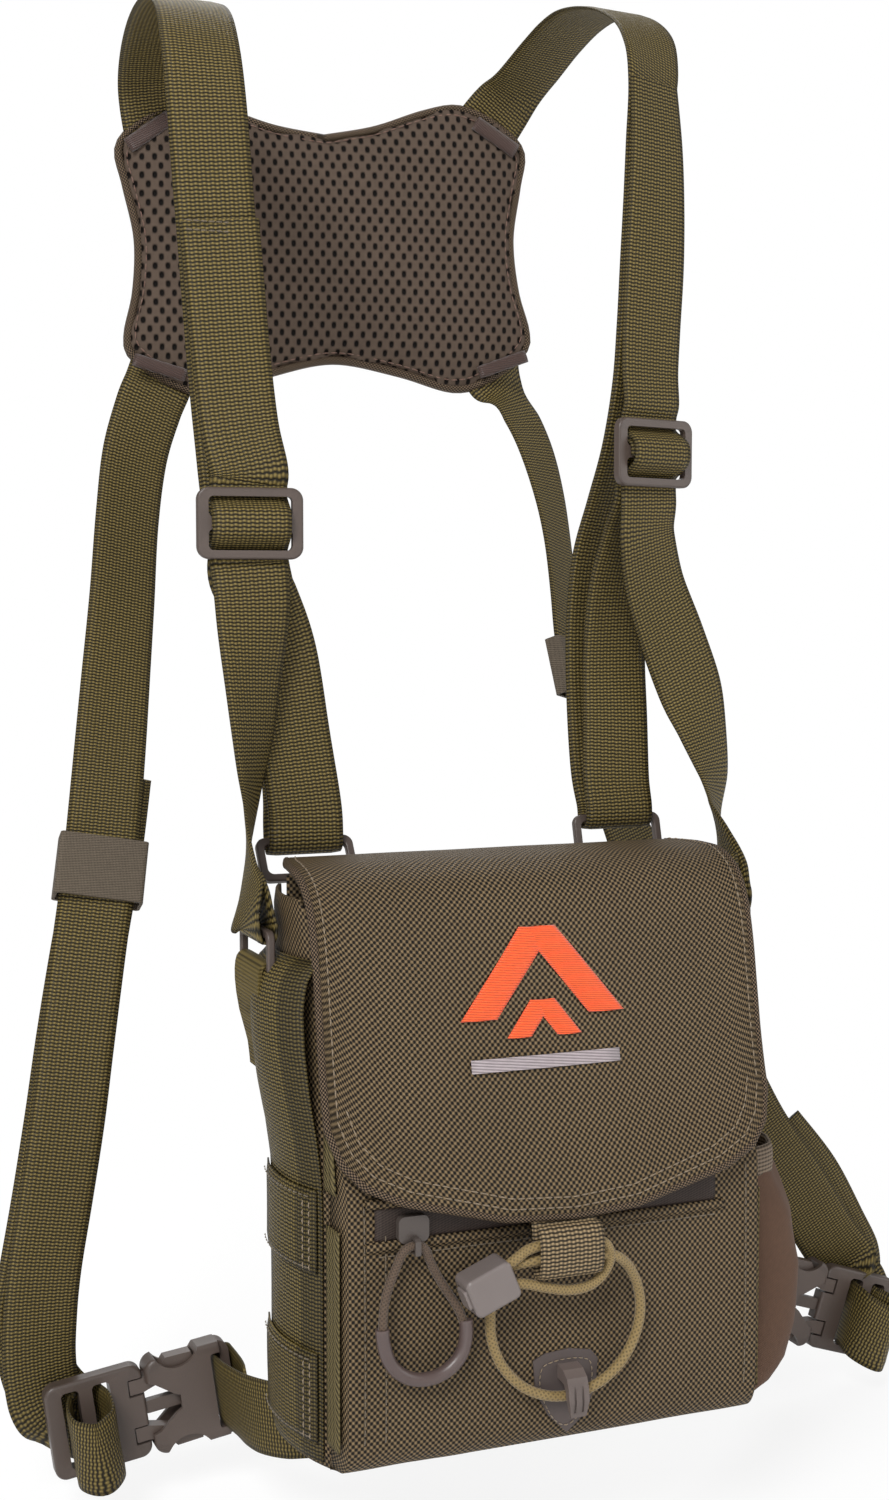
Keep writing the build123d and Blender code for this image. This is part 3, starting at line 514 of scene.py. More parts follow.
def slab(name, surface, ni, nj, thick, finish="pack_cloth", body="pack", replaces=(),
         flip=False, sag=0.0, seed=0.0, puff=0.0):
    """A layer of cloth: surface(s, t) gives its outer face for s and t from 0 to 1."""
    grid = [[Vector(surface(i / ni, j / nj)) for j in range(nj + 1)] for i in range(ni + 1)]
    normals = normals_of(grid)
    side = -1 if flip else 1
    outer, inner = [], []
    for i in range(ni + 1):
        for j in range(nj + 1):
            n = normals[i][j] * side
            p = grid[i][j]
            near = min(i / ni, 1 - i / ni, j / nj, 1 - j / nj)
            thinned = 0.0 if min(i, ni - i, j, nj - j) else EDGE_THINNING * thick
            ripple = sag * noise.noise(p * SAG_SCALE + Vector((seed, 0, 0)))
            lift = puff * min(1.0, near * 10) + ripple * min(1.0, near * 12)
            outer.append(p + n * (lift - thinned))
            inner.append(p - n * (thick - thinned))
    count = (ni + 1) * (nj + 1)

    def at(i, j):
        return i * (nj + 1) + j

    faces = []
    for i in range(ni):
        for j in range(nj):
            quad = (at(i, j), at(i + 1, j), at(i + 1, j + 1), at(i, j + 1))
            faces.append(quad)
            faces.append(tuple(k + count for k in reversed(quad)))
    rim = [(i, 0) for i in range(ni)] + [(ni, j) for j in range(nj)]
    rim += [(i, nj) for i in range(ni, 0, -1)] + [(0, j) for j in range(nj, 0, -1)]
    for (a, b), (c, d) in zip(rim, rim[1:] + rim[:1]):
        faces.append((at(a, b), at(c, d), at(c, d) + count, at(a, b) + count))
    flat = cloth_map(grid)
    uvs = [flat[i][j] for i in range(ni + 1) for j in range(nj + 1)]
    return piece(name, outer + inner, faces, uvs + uvs, finish, body, replaces)


def strap(name, stations, finish="webbing", body="pack", replaces=(), width=WEB_W,
          thick=WEB_T, steps=8):
    """Webbing through stations of (x, y, z, turn, lean), with thin selvedges and a slight cup.

    A station's turn and lean are 0 where it leaves them out.
    """
    rows = smooth([(*station, 0, 0)[:5] for station in stations], steps)
    columns = 8
    points, uvs = [], []
    run = 0.0
    profile = [(-0.5 + k / columns, 0.5) for k in range(columns + 1)]
    profile += [(-a, -b) for a, b in profile]
    for i, row in enumerate(rows):
        ahead = Vector(rows[min(i + 1, len(rows) - 1)][:3])
        behind = Vector(rows[max(i - 1, 0)][:3])
        along = (ahead - behind).normalized()
        turn, lean = math.radians(row[3]), math.radians(row[4])
        flat = math.cos(lean)
        across = Vector((math.cos(turn) * flat, math.sin(turn) * flat, math.sin(lean)))
        across = (across - along * across.dot(along)).normalized()
        out = along.cross(across).normalized()
        centre = Vector(row[:3])
        if i:
            run += (centre - Vector(rows[i - 1][:3])).length
        wander = 0.22 * noise.noise(Vector((run * 0.03, stations[0][0], 0)))
        for a, b in profile:
            edge = abs(a) > 0.49
            lift = b * thick * (0.45 if edge else 1.0) + wander * (1 - 4 * a * a)
            points.append(centre + across * (a * width) + out * lift)
            uvs.append((a * width, run))
    faces = tube_faces(len(rows), len(profile))
    return piece(name, points, faces, uvs, finish, body, replaces)


def rope(name, route, diameter, finish, body, replaces=()):
    """A cord on one NURBS spline with the route's points as its control points."""
    curve = bpy.data.curves.new(name, "CURVE")
    curve.dimensions = "3D"
    curve.bevel_depth = diameter / 2 * MM
    curve.bevel_resolution = 5
    curve.resolution_u = 16
    curve.use_fill_caps = True
    spline = curve.splines.new("NURBS")
    spline.points.add(len(route) - 1)
    for point, (x, y, z) in zip(spline.points, route):
        point.co = (x * MM, y * MM, z * MM, 1)
    spline.order_u = 3
    spline.use_endpoint_u = True
    curve.materials.append(MAT[finish])
    obj = bpy.data.objects.new(name, curve)
    bpy.context.scene.collection.objects.link(obj)
    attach(obj, body)
    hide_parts(*replaces)
    return obj


def stitches(name, path, spacing=3.0, length=2.3, radius=0.24, finish="thread_pale",
             body="pack"):
    """Lock stitches along a path of (point, outward) pairs, each a small raised arch of thread."""
    points, faces = [], []
    lengths = [0.0]
    for (p, _), (q, _) in zip(path, path[1:]):
        lengths.append(lengths[-1] + (Vector(q) - Vector(p)).length)

    def at(s):
        k = next((k for k in range(len(path) - 2) if s <= lengths[k + 1]), len(path) - 2)
        t = min(max((s - lengths[k]) / max(lengths[k + 1] - lengths[k], 1e-6), 0), 1)
        p, n = [Vector(a).lerp(Vector(b), t) for a, b in zip(path[k], path[k + 1])]
        return p, n.normalized()

    count = int(lengths[-1] // spacing)
    sides, rings = 6, 5
    for k in range(count):
        start = k * spacing + 0.3
        base = len(points)
        for r in range(rings):
            t = r / (rings - 1)
            p, n = at(start + length * t)
            q, _ = at(start + length * t + 0.1)
            along = (q - p).normalized() if (q - p).length > 1e-6 else Vector((1, 0, 0))
            across = along.cross(n).normalized()
            arch = math.sin(math.pi * t)
            size = radius * (0.45 + 0.55 * arch)
            middle = p + n * (0.12 + 0.16 * arch)
            for m in range(sides):
                angle = TAU * m / sides
                points.append(middle + across * (size * math.cos(angle)) + n * (size * math.sin(angle)))
        faces += tube_faces(rings, sides, base)
    return piece(name, points, faces, None, finish, body)


def box_map(mesh):
    """A cloth map in metres laid on by the way each face looks."""
    layer = mesh.uv_layers.get("cloth") or mesh.uv_layers.new(name="cloth")
    for face in mesh.polygons:
        n = [abs(c) for c in face.normal]
        for index in face.loop_indices:
            p = mesh.vertices[mesh.loops[index].vertex_index].co
            if n[1] >= n[0] and n[1] >= n[2]:
                layer.data[index].uv = (p.x, p.z)
            elif n[0] >= n[2]:
                layer.data[index].uv = (p.y, p.z)
            else:
                layer.data[index].uv = (p.x, p.y)


def inflate(obj, hold, cap):
    """Cloth simulation of a stuffed piece, capped at a distance and held still at its sewn edge."""
    scene = bpy.context.scene
    bpy.context.view_layer.objects.active = obj
    remesh = obj.modifiers.new("remesh", "REMESH")
    remesh.mode = "VOXEL"
    remesh.voxel_size = STUFFED_VOXEL * MM
    bpy.ops.object.modifier_apply(modifier=remesh.name)
    start = [v.co.copy() for v in obj.data.vertices]
    cloth = obj.modifiers.new("cloth", "CLOTH")
    cloth.settings.use_pressure = True
    cloth.settings.uniform_pressure_force = STUFFING_PRESSURE
    cloth.settings.effector_weights.gravity = 0
    cloth.point_cache.frame_start = 1
    cloth.point_cache.frame_end = SIM_FRAMES
    for step in range(1, SIM_FRAMES + 1):
        scene.frame_set(step)
    swollen = obj.evaluated_get(bpy.context.evaluated_depsgraph_get())
    moved = [v.co.copy() for v in swollen.data.vertices]
    obj.modifiers.remove(cloth)
    scene.frame_set(1)
    for v, a, b in zip(obj.data.vertices, start, moved):
        d = b - a
        limit = cap * MM * hold(a / MM)
        v.co = a + d * min(1.0, limit / max(d.length, 1e-9))
    split = obj.modifiers.new("split", "SUBSURF")
    split.levels = 1
    split.render_levels = 1
    bpy.ops.object.modifier_apply(modifier=split.name)
    box_map(obj.data)
    obj.data.shade_smooth()


# ---- Cords ---------------------------------------------------------------------------------------------

SHOCK_CORD = [
    (-28.6, -77, -28.8), (-22.4, -78.4, -24.8), (-16.2, -81.8, -22.6), (10.2, -82.2, -22.8),
    (17.6, -79.4, -28), (23, -76.8, -36.2), (24.6, -75.8, -47), (20.6, -75, -58.6),
    (11.6, -74.8, -66.6), (-0.6, -74.6, -69.6), (-12.6, -74.8, -66.2), (-21.6, -75.2, -58),
    (-26.2, -75.8, -47.6), (-27, -77.4, -37), (-27.4, -80.4, -30.6), (-19.4, -81.2, -28.8),
    (-10.6, -81.2, -31.6), (-2.4, -81, -33.8), (5.6, -81, -33), (10.6, -81.6, -27.4),
    (10.6, -82.2, -21.4), (5.6, -82.2, -17.9), (-15.2, -82.2, -17.9), (-20.4, -81.8, -21.4),
    (-25.6, -80.8, -25.2),
]
PULL_CORD = [
    (-47.1, -76, -56.3), (-52.4, -76, -56.3), (-60.3, -76, -48.4), (-60.7, -76, -38),
    (-59, -74.4, -29.6), (-55.6, -74, -22.2), (-53.2, -75, -15.9), (-47, -75, -15.9),
    (-44.6, -74, -22.4), (-40.4, -73.6, -29.8), (-34.7, -74.6, -38.6), (-33.3, -76, -48.4),
    (-41.2, -76, -56.3), (-46.5, -76, -56.3),
]
GRIP = [
    (-60.6, -75.8, -39.4), (-60.3, -76, -48.4), (-52.4, -76, -56.3), (-41.2, -76, -56.3),
    (-33.3, -76, -48.4), (-33.8, -75, -40.4),
]
shock = rope("lid_shock_cord", SHOCK_CORD, 3.2, "shock_cord", "cord_loop", ["shock_cord"])
pull = rope("zip_pull_cord", PULL_CORD, 2.7, "pull_cord", "zip_pull", ["pull_cord"])
grip = rope("zip_pull_grip", GRIP, 4.2, "grip", "zip_pull", ["pull_grip"])

# ---- Harness webbing -------------------------------------------------------------------------------

TRIGLIDE_LEFT = (-76.5, 0.0, 197.5, -6.0)
TRIGLIDE_RIGHT = (61.0, -11.0, 222.5, 16.0)


def near_glide(glide, rows):
    """Stations given as (height, depth) at a tri-glide, set in its own turned plane."""
    x, y, z, turn = glide
    a = math.radians(turn)
    return [(x - d * math.sin(a), y + d * math.cos(a), z + h, turn) for h, d in rows]


def round_hip_ring(side):
    """Stations of the webbing that turns round the lower bar of a side ring."""
    return [(side * x, -24, z, 90) for x, z in HIP_RING_TURN]


WEAVE = [
    (17, 1.2), (12.5, 2.4), (9.8, 2.5), (7.9, 2.3), (3.9, -3.2), (0, -4.4), (-3.9, -3.2), (-7.9, 2.3),
    (-9.8, 2.5), (-12.5, 2.4),
]
RETURN = [
    (-16, 5.8), (-10, 5.1), (-5.5, 3.9), (-1.8, 2.6), (0.9, 2.4), (2.8, 1.7), (3.4, 0), (2.8, -1.7),
    (0.9, -2.4), (-1.4, -2.4),
]
HIP_RING_TURN = [(85.1, 73), (84.3, 70.4), (82.4, 69.5), (80.5, 70.4), (79.8, 72.8)]

left_over = [
    (-70, 130.5, 338), (-73, 130.5, 349), (-76, 124, 361), (-79, 106, 369), (-82, 80, 373),
    (-84, 54, 372), (-86, 29, 363), (-88, 12, 347, -4), (-88.5, 3.5, 327, -8), (-87.5, 1.5, 305, -8),
    (-85.5, 2, 280, -8), (-83, 3.5, 250, -6), (-80, 6, 225, -6), (-76.5, 10, 203, -3), (-70, 16, 178),
    (-63, 18.5, 158), (-58, 17.5, 135), (-56.5, 13.5, 112), (-57, 11.2, 99), (-57, 10.3, 93.5),
    (-57, 7.6, 91.2), (-57, 4.7, 93.2), (-57, 4.2, 98), (-57, 6.3, 108), (-59, 11.5, 130),
    (-63, 12.5, 155, -2), (-70, 9.6, 172, -5),
]
left_shoulder = strap("left_shoulder_webbing", left_over + near_glide(TRIGLIDE_LEFT, RETURN),
                      replaces=["shoulder_strap_left"], body=None)
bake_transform(left_shoulder)

left_adjust_top = [
    (-85.9, -0.3, 291, -8), (-85, -0.4, 280, -8), (-82.2, 0.5, 250, -6), (-79.4, 1.2, 228, -6),
]
STEP_OUT = (0.1, -1, 0)
for row, z in enumerate((290.2, 287.4)):
    step_line = [((x, -0.847 - 0.0168 * (x + 97), z), STEP_OUT) for x in range(-97, -72, 2)]
    stitches(f"left_shoulder_step_{row + 1}", step_line, finish="thread_dull", spacing=2.4, length=1.9)
left_adjust_low = [
    (-76, 1.4, 181, -3), (-75.5, 1, 170, 4), (-76, 0, 150, 27), (-76.5, -1.5, 130, 43),
    (-77.8, -2.5, 112, 60), (-80, -7, 98, 72), (-82.6, -15, 84.5, 84), (-84.9, -22, 77, 90),
    *round_hip_ring(-1), (-80.2, -22.6, 76.8, 90), (-80.6, -18, 82, 88),
]
left_adjust = left_adjust_top + near_glide(TRIGLIDE_LEFT, WEAVE) + left_adjust_low
left_adjuster = strap("left_adjuster_webbing", left_adjust, replaces=["adjust_strap_left"], body=None)
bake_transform(left_adjuster)

right_over = [
    (47, 112.5, 346, -8), (53, 112, 355.5, -6), (60, 107, 366), (64, 97, 373, 3), (66.5, 84, 379.5, 5),
    (67.5, 68, 383.5, 5), (67, 50, 383, 5), (67.5, 30, 378, 8), (68, 14, 369, 15), (66, 3, 357, 22),
    (63.3, -3.5, 343, 25), (62.3, -5.5, 325, 20), (62, -6, 305, 15), (61.3, -6.2, 285, 12),
    (60.2, -6, 265, 13), (59.3, -4, 245, 15), (58.6, 2, 225, 15), (57.5, 10, 207, 12), (55, 15, 187, 6),
    (54, 16.5, 163, 2), (54, 15, 138), (54, 11.5, 115), (55, 8.6, 103), (55, 7.3, 97.8),
    (55, 4.4, 95.3), (55, 1.4, 97.4), (55, 1, 102.5), (55, 3.5, 113), (56.5, 7.5, 133, 2),
    (56.5, 8.6, 155, 6), (56.5, 6, 178, 12), (58.5, 0.5, 196, 15),
]
right_shoulder = strap("right_shoulder_webbing", right_over + near_glide(TRIGLIDE_RIGHT, RETURN),
                       replaces=["shoulder_strap_right"], body=None)
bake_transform(right_shoulder)

right_adjust_top = [
    (62.4, -6.4, 345.5, 25), (62.9, -7.9, 325, 20), (62.6, -8.5, 305, 15), (61.9, -8.8, 285, 12),
    (60.9, -8.9, 265, 13), (60.4, -9.2, 250, 15),
]
right_adjust_low = [
    (60.5, -8.6, 205, 16), (61, -7, 194, 18), (66, -3, 178, 12), (75, 0, 159, 3), (82.5, 1, 142, 3),
    (87, 0, 128, 20), (90, -2, 113, 38), (89, -5, 100, 55), (87, -14, 88, 75), (85.4, -21.5, 78, 90),
    *round_hip_ring(1), (80.4, -22.6, 76.8, 90), (82, -19, 82, 88),
]
right_adjust = right_adjust_top + near_glide(TRIGLIDE_RIGHT, WEAVE) + right_adjust_low
right_adjuster = strap("right_adjuster_webbing", right_adjust, replaces=["adjust_strap_right"], body=None)
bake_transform(right_adjuster)

left_rear = [
    (-70, 132.3, 262, -8), (-73, 132, 254, -6), (-77, 131, 245), (-83, 128, 227, 8),
    (-88, 120, 203, 14), (-93, 108, 174, 12), (-98.8, 94.5, 145, 6), (-105, 79, 117, -2),
    (-111, 65, 90, -8), (-115.2, 56.5, 72, -10), (-119.5, 51, 52, -10), (-124, 47.5, 26, -8),
    (-128, 45.5, 0, -6), (-132.5, 44.5, -26, -2), (-136.5, 45, -50), (-138, 46.5, -68, 0, 15),
    (-138, 48, -84, 0, 50), (-136, 48.6, -96.5, 0, 82), (-131.6, 47.6, -103.2, 0, 97.5),
    (-128.1, 42, -104.4, 0, 98), (-130, 33.5, -105.8, 0, 98), (-129, 26, -107.6, 0, 98),
    (-123, 21.5, -108, 0, 98), (-117, 26, -105.6, 0, 98), (-116, 33.5, -103.2, 0, 98),
    (-117.7, 42, -102.9, 0, 98), (-121.5, 48.6, -102, 0, 98), (-128, 51, -101, 0, 95),
    (-135.5, 52.2, -93, 0, 72), (-139.5, 51.4, -80, 0, 42), (-141, 50, -65, 0, 15), (-138.5, 48.3, -50),
    (-134, 47.4, -26, -2), (-129.2, 48.2, 0, -6), (-124.6, 50.2, 26, -8), (-119.2, 53.7, 52, -10),
    (-114, 59.2, 72, -10), (-108.6, 67.6, 90, -8), (-102.6, 79.5, 112, -4),
]
left_low = strap("left_rear_webbing", left_rear, replaces=["rear_strap_left"], body=None)
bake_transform(left_low)

right_rear = [
    (50, 112.2, 270, -4), (54.5, 112, 262, 0, -25), (60.5, 111.5, 254, 8, -30), (66, 108, 244, 15, -25),
    (70, 103, 231, 28, -12), (72.8, 97.5, 214, 38), (74, 92, 196, 42), (74.2, 86, 175, 42),
    (73.5, 78.5, 155, 40), (75, 71, 135, 38), (81, 63.5, 108, 30), (92, 56, 75, 15), (108, 51, 35),
    (124, 49.5, 0, -5, 5), (140, 49, -30, -5, 15), (158, 49.5, -54, -5, 25), (173.5, 51.5, -77, -5),
    (184, 52.8, -90, 0, -45), (190, 53.2, -100.5, 0, -90), (192, 51.9, -107.6, 0, -107),
    (188.9, 46, -110.3, 0, -108.5), (191, 37.5, -112, 0, -108.5), (190, 30, -113.8, 0, -108.5),
    (184, 25.5, -112.8, 0, -108.5), (178, 30, -109.4, 0, -108.5), (177, 37.5, -106.8, 0, -108.5),
    (179, 46, -107, 0, -108.5), (183, 53.4, -106.5, 0, -108.5), (189.8, 56.4, -104, 0, -92),
    (189.5, 56.8, -92, 0, -45), (180.5, 55, -76, -5, -5), (167, 52.8, -54, -5, 25),
    (150, 51.8, -34, -5, 20),
]
right_low = strap("right_rear_webbing", right_rear, replaces=["rear_strap_right"], body=None)
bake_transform(right_low)

left_buckle_strap = [
    (-62, -7.6, -93.2, 0, 90), (-68, -4.5, -93.6, 0, 90), (-73.5, 4, -94.5, 0, 90),
    (-76.2, 14, -95.6, 0, 94), (-77.4, 26, -96.6, 0, 98), (-78.1, 35, -97.3, 0, 98),
    (-78.3, 42, -97.4, 0, 98), (-77.6, 45.8, -97.2, 0, 98), (-74.7, 47.2, -96.9, 0, 98),
    (-71.8, 45.8, -96.6, 0, 98), (-71.4, 42, -96.5, 0, 98), (-72, 30, -96.4, 0, 96),
    (-73.8, 20, -95.6, 0, 94),
]
strap("left_buckle_webbing", left_buckle_strap, replaces=["buckle_strap_left"])

right_buckle_strap = [
    (62, -7.6, -94, 0, 90), (70, -3, -94, 0, 90), (84, 4, -94, 0, 88), (104, 18, -94, 0, 82),
    (122, 32, -93.2, 0, 76), (132, 38.2, -92.6, 0, 71.5), (137.4, 41, -93.2, 0, 71.5),
    (140.8, 43, -94.2, 0, 71.5), (141.2, 46.4, -94.3, 0, 71.5), (140.4, 49.4, -94.2, 0, 71.5),
    (137.4, 50.6, -93.2, 0, 71.5), (131, 46, -92.6, 0, 73), (122, 37.6, -93, 0, 77),
]
strap("right_buckle_webbing", right_buckle_strap, replaces=["buckle_strap_right"])

# ---- The case ------------------------------------------------------------------------------------------

FRONT_LINE = [(-88, -58), (32, -58), (50, -55.2), (66, -52), (79, -47.4), (84, -43)]


def bow(y, base=70.5):
    """How far the bowed side wall stands from the middle at a depth."""
    return base + 6.5 * max(0.0, 1 - ((y + 32) / 26) ** 2)


def front_wall(s, t):
    z = lerp(-86, 79, t)
    return (lerp(-67.4, 67.4, s), read_off(FRONT_LINE, z), z)


def back_wall(s, t):
    return (lerp(67.4, -67.4, s), -6.05, lerp(-86, 86, t))


def floor_wall(s, t):
    return (lerp(-67.3, 67.3, s), lerp(-57.6, -6.2, t), -90.6 + 1.2 * (2 * s - 1) ** 4)


slab("front_wall", front_wall, 28, 34, 2.3, replaces=["front_panel"], sag=0.3)
slab("back_wall", back_wall, 28, 34, 2.8, replaces=["back_panel"], sag=0.2)
slab("floor_wall", floor_wall, 28, 12, 3.6, replaces=["bottom_panel"], flip=True, sag=0.4)
for side, word in SIDES:
    def side_wall(s, t, side=side):
        z = lerp(-87.6, 83.5, t)
        y = lerp(-6.2, max(read_off(FRONT_LINE, z), -57.9), s)
        return (side * bow(y), y, z)
    slab(f"{word}_side_wall", side_wall, 14, 40, 2.3, replaces=[f"{word}_gusset"], flip=side > 0,
         sag=0.4, seed=side)

# Front pocket: one skin whose left and right edges and bottom roll back to the case
POCKET_LINE = [
    (-58.4, 12), (-61.5, 9.5), (-66.5, 3.5), (-69.2, -1), (-70, -8), (-70.4, -30), (-70.6, -55),
    (-70.2, -74), (-69, -81), (-65.5, -85.6), (-60, -87.4), (-58.4, -87.6),
]
POCKET_ROWS = smooth(POCKET_LINE, 6)
POCKET_BACK = -58.4
POCKET_HALF = 71.0
POCKET_ROLL = 0.035


def pocket_skin(s, t):
    k = t * (len(POCKET_ROWS) - 1)
    i = min(int(k), len(POCKET_ROWS) - 2)
    y, z = [lerp(a, b, k - i) for a, b in zip(POCKET_ROWS[i], POCKET_ROWS[i + 1])]
    turn = 2 * s - 1
    past = max(0.0, (abs(turn) - 1 + POCKET_ROLL) / POCKET_ROLL)
    keep = math.sqrt(max(0.0, 1 - past ** 2.2))
    drawn_in = (z + 40) / 60 * (1 - keep)
    return (POCKET_HALF * turn, POCKET_BACK + (y - POCKET_BACK) * keep, z - drawn_in)


slab("front_pocket", pocket_skin, 72, 60, 1.2, replaces=["pocket_face", "pocket_gusset"], flip=True,
     sag=0.35, seed=4.0)

# Zip: coated tape between two turned edges of the pocket cloth
ZIP_Z = -10.0


def welt(name, z, tall, out, x0, x1, finish="pack_cloth", replaces=()):
    """A narrow roll of cloth along the zip."""
    def roll(s, t):
        angle = math.pi * t
        return (lerp(x0, x1, s), -70.0 - out * math.sin(angle), z + tall / 2 * math.cos(angle))
    slab(name, roll, 40, 8, 0.5, finish, replaces=replaces, flip=True)


def zip_band(s, t):
    return (lerp(-61, 53, s), -70.5 - 0.5 * math.sin(math.pi * t), ZIP_Z + lerp(5.2, -5.2, t))


slab("coated_zip_tape", zip_band, 48, 10, 0.5, "zip_tape", replaces=["zip_tape"], flip=True)
welt("zip_seam", ZIP_Z, 1.0, 1.0, -60, 52, "zip_tape", ["zip_coil"])
welt("zip_upper_welt", ZIP_Z + 6.4, 3.4, 1.7, -64, 56)
welt("zip_lower_welt", ZIP_Z - 6.6, 3.4, 1.7, -64, 56)

# Twill webbing that lies in the corner between the front pocket and the side webbing
for side, word in SIDES:
    def corner(s, t, side=side):
        return (side * (72.0 - 0.5 * s), lerp(-57.6, -67.4, s), lerp(-79.0, -13.0 - side, t))
    slab(f"{word}_corner_tape", corner, 6, 40, 1.0, "twill", flip=side > 0, sag=0.3,
         seed=2 * side)


def upper_corner(s, t):
    return (-(72.0 - 0.8 * s), lerp(-56.0, -64.0 + 6 * t, s), lerp(-2.0, 30.0, t))


slab("left_upper_corner_tape", upper_corner, 6, 16, 1.0, "twill", sag=0.3)

# Side webbing and the bands sewn over it
# PUFF is how far the loose top of the left side webbing stands off the case at a height
PUFF = [(-10, 0), (0, 0.4), (12, 2.2), (26, 5.2), (40, 7.2), (52, 7.8), (60, 6.6), (65, 3.4), (67, 0)]


def side_tape(name, side, y0, y1, z0, z1, gap, node, loose=False):
    """Webbing up the side of the case, a gap away from it."""
    def face(s, t):
        y, z = lerp(y0, y1, s), lerp(z0, z1, t)
        x = bow(y, 70.5 + gap + WEB_T)
        if loose:
            x += read_off(PUFF, z) * (0.72 + 0.28 * math.sin(math.pi * s))
        return (side * x, y, z)
    slab(name, face, 12, max(8, int((z1 - z0) / 3)), WEB_T, "side_webbing", replaces=[node],
         flip=side > 0, sag=0.4, seed=z0 + side)


side_tape("left_side_webbing", -1, -15.2, -56.2, -85.8, 67.0, 0.15, "side_webbing_left", loose=True)
side_tape("left_upper_band", -1, -15.2, -55.8, -27.8, -2.2, 1.7, "webbing_band_upper_left")
side_tape("left_lower_band", -1, -15.2, -55.8, -79.8, -52.2, 1.7, "webbing_band_lower_left")
side_tape("right_side_webbing", 1, -38.2, -55.8, -85.8, 57.8, 0.15, "side_webbing_right")


def on_band(y, z):
    """A point on the outer face of the left bands, with its outward direction."""
    return ((-bow(y, 73.8), y, z), (-1, 0, 0))


for word, z0, z1 in (("upper", -27.0, -3.0), ("lower", -79.0, -53.0)):
    for row, y in enumerate((-54.0, -51.2)):
        stitches(f"left_{word}_band_row_{row + 1}", [on_band(y, lerp(z0, z1, k / 10)) for k in range(11)],
                 spacing=2.7, length=1.9)
for row, z in enumerate((-4.2, -26.0, -54.2, -78.0)):
    stitches(f"left_band_edge_row_{row + 1}", [on_band(-17 - 3.8 * k, z) for k in range(11)],
             finish="thread_dull", spacing=2.7, length=1.9)

# Stretch pocket on the right side, with a ribbed knitted rim
BELLY = [
    (-91.5, 80), (-88, 92), (-82, 98.5), (-70, 103), (-50, 104.8), (-32, 101), (-18, 94.5), (-12.8, 91.8),
]


def off_wall(turn, half, reach):
    """Distance across and depth of cloth that leaves the right wall, swells by reach and returns."""
    hold = (1 - abs(turn) ** 3.2) ** 0.55
    y = -30 + half * turn
    wall = bow(min(y, -8), 70.9)
    return wall + (reach - wall) * hold, y, hold


def stretch_face(s, t):
    z = lerp(-91.2, -12.5, t ** 0.85)
    turn = 2 * s - 1
    x, y, hold = off_wall(turn, 21.8, read_off(BELLY, z))
    x += 1.3 * math.sin(10 * turn + z * 0.06) * hold * (0.15 + 0.85 * t * t)
    return (x, y, z)


def rim_face(s, t):
    turn = 2 * s - 1
    flare = 91.9 + 0.6 * math.sin(math.pi * t) + 0.35 * math.sin(14 * turn)
    x, y, _ = off_wall(turn, 22.1, flare)
    return (x, y, lerp(-17.5, -6.2, t))


slab("stretch_pocket", stretch_face, 48, 34, 1.1, "stretch",
     replaces=["side_pocket_right"], sag=0.5, seed=9)
slab("knitted_rim", rim_face, 96, 6, 1.5, "knit", replaces=["side_pocket_binding"])

# ---- The lid -----------------------------------------------------------------------------------------

LID_CURVE = [
    (-4.4, 91.4), (-14, 92.2), (-26, 92.4), (-37, 91.4), (-46, 87), (-52, 79), (-56, 66), (-59, 50),
    (-62, 34), (-66.5, 18), (-72.6, 6), (-77.6, -4), (-79.8, -13.5),
]
LID_ROWS = smooth(LID_CURVE, 8)
LID_RUN = [0.0]
for (ya, za), (yb, zb) in zip(LID_ROWS, LID_ROWS[1:]):
    LID_RUN.append(LID_RUN[-1] + math.hypot(yb - ya, zb - za))
LID_HALF = 74.0
HEM = [(0, 18), (3, 9), (9, 2.5), (20, -2.5), (40, -7.5), (52, -10.6), (74, -12)]


def lid_point(run):
    """Depth and height on the lid's outer line at a length from its fold."""
    for k in range(len(LID_RUN) - 1):
        if run <= LID_RUN[k + 1] or k == len(LID_RUN) - 2:
            t = (run - LID_RUN[k]) / (LID_RUN[k + 1] - LID_RUN[k])
            (ya, za), (yb, zb) = LID_ROWS[k], LID_ROWS[k + 1]
            return lerp(ya, yb, t), lerp(za, zb, t)


def lid_run_at(z):
    """Length from the fold where the lid's front passes a height."""
    for k in range(len(LID_ROWS) - 1, 0, -1):
        above = LID_ROWS[k - 1][1]
        if above > z:
            t = (above - z) / (above - LID_ROWS[k][1])
            return lerp(LID_RUN[k - 1], LID_RUN[k], t)
    return LID_RUN[-1]


def hem_run(x):
    """Length from the fold to the hem at a distance from the middle."""
    return lid_run_at(read_off(HEM, LID_HALF - abs(x)))


def lid_half(y):
    """Half width of the lid at a depth: narrower at the fold."""
    return LID_HALF - read_off([(-34, 0), (-22, 1.5), (-8, 6), (0, 7)], y)


def lid_outward(run):
    """The lid's outward direction at a length from its fold, as depth and height."""
    y2, z2 = lid_point(min(run + 0.5, LID_RUN[-1] - 0.01))
    y1, z1 = lid_point(max(run - 0.5, 0))
    return Vector((z2 - z1, y1 - y2)).normalized()


def lid_surface(s, t, under=0.0, inset=0.0):
    bend = bent(2 * s - 1, 0.82)
    run = t * (hem_run(bend * (LID_HALF - inset)) - inset)
    y, z = Vector(lid_point(run)) - lid_outward(run) * under
    return (bend * (lid_half(lid_point(run)[0]) - inset), y, z)


slab("lid_cloth", lid_surface, 64, 80, 2.3, body="lid", replaces=["lid_shell"], flip=True, sag=0.5,
     seed=6, puff=0.25)
slab("lid_inner_cloth", lambda s, t: lid_surface(s, t, 2.6, 1.5), 40, 50, 0.8, "lining",
     body="lid", replaces=["lid_lining"], flip=True)

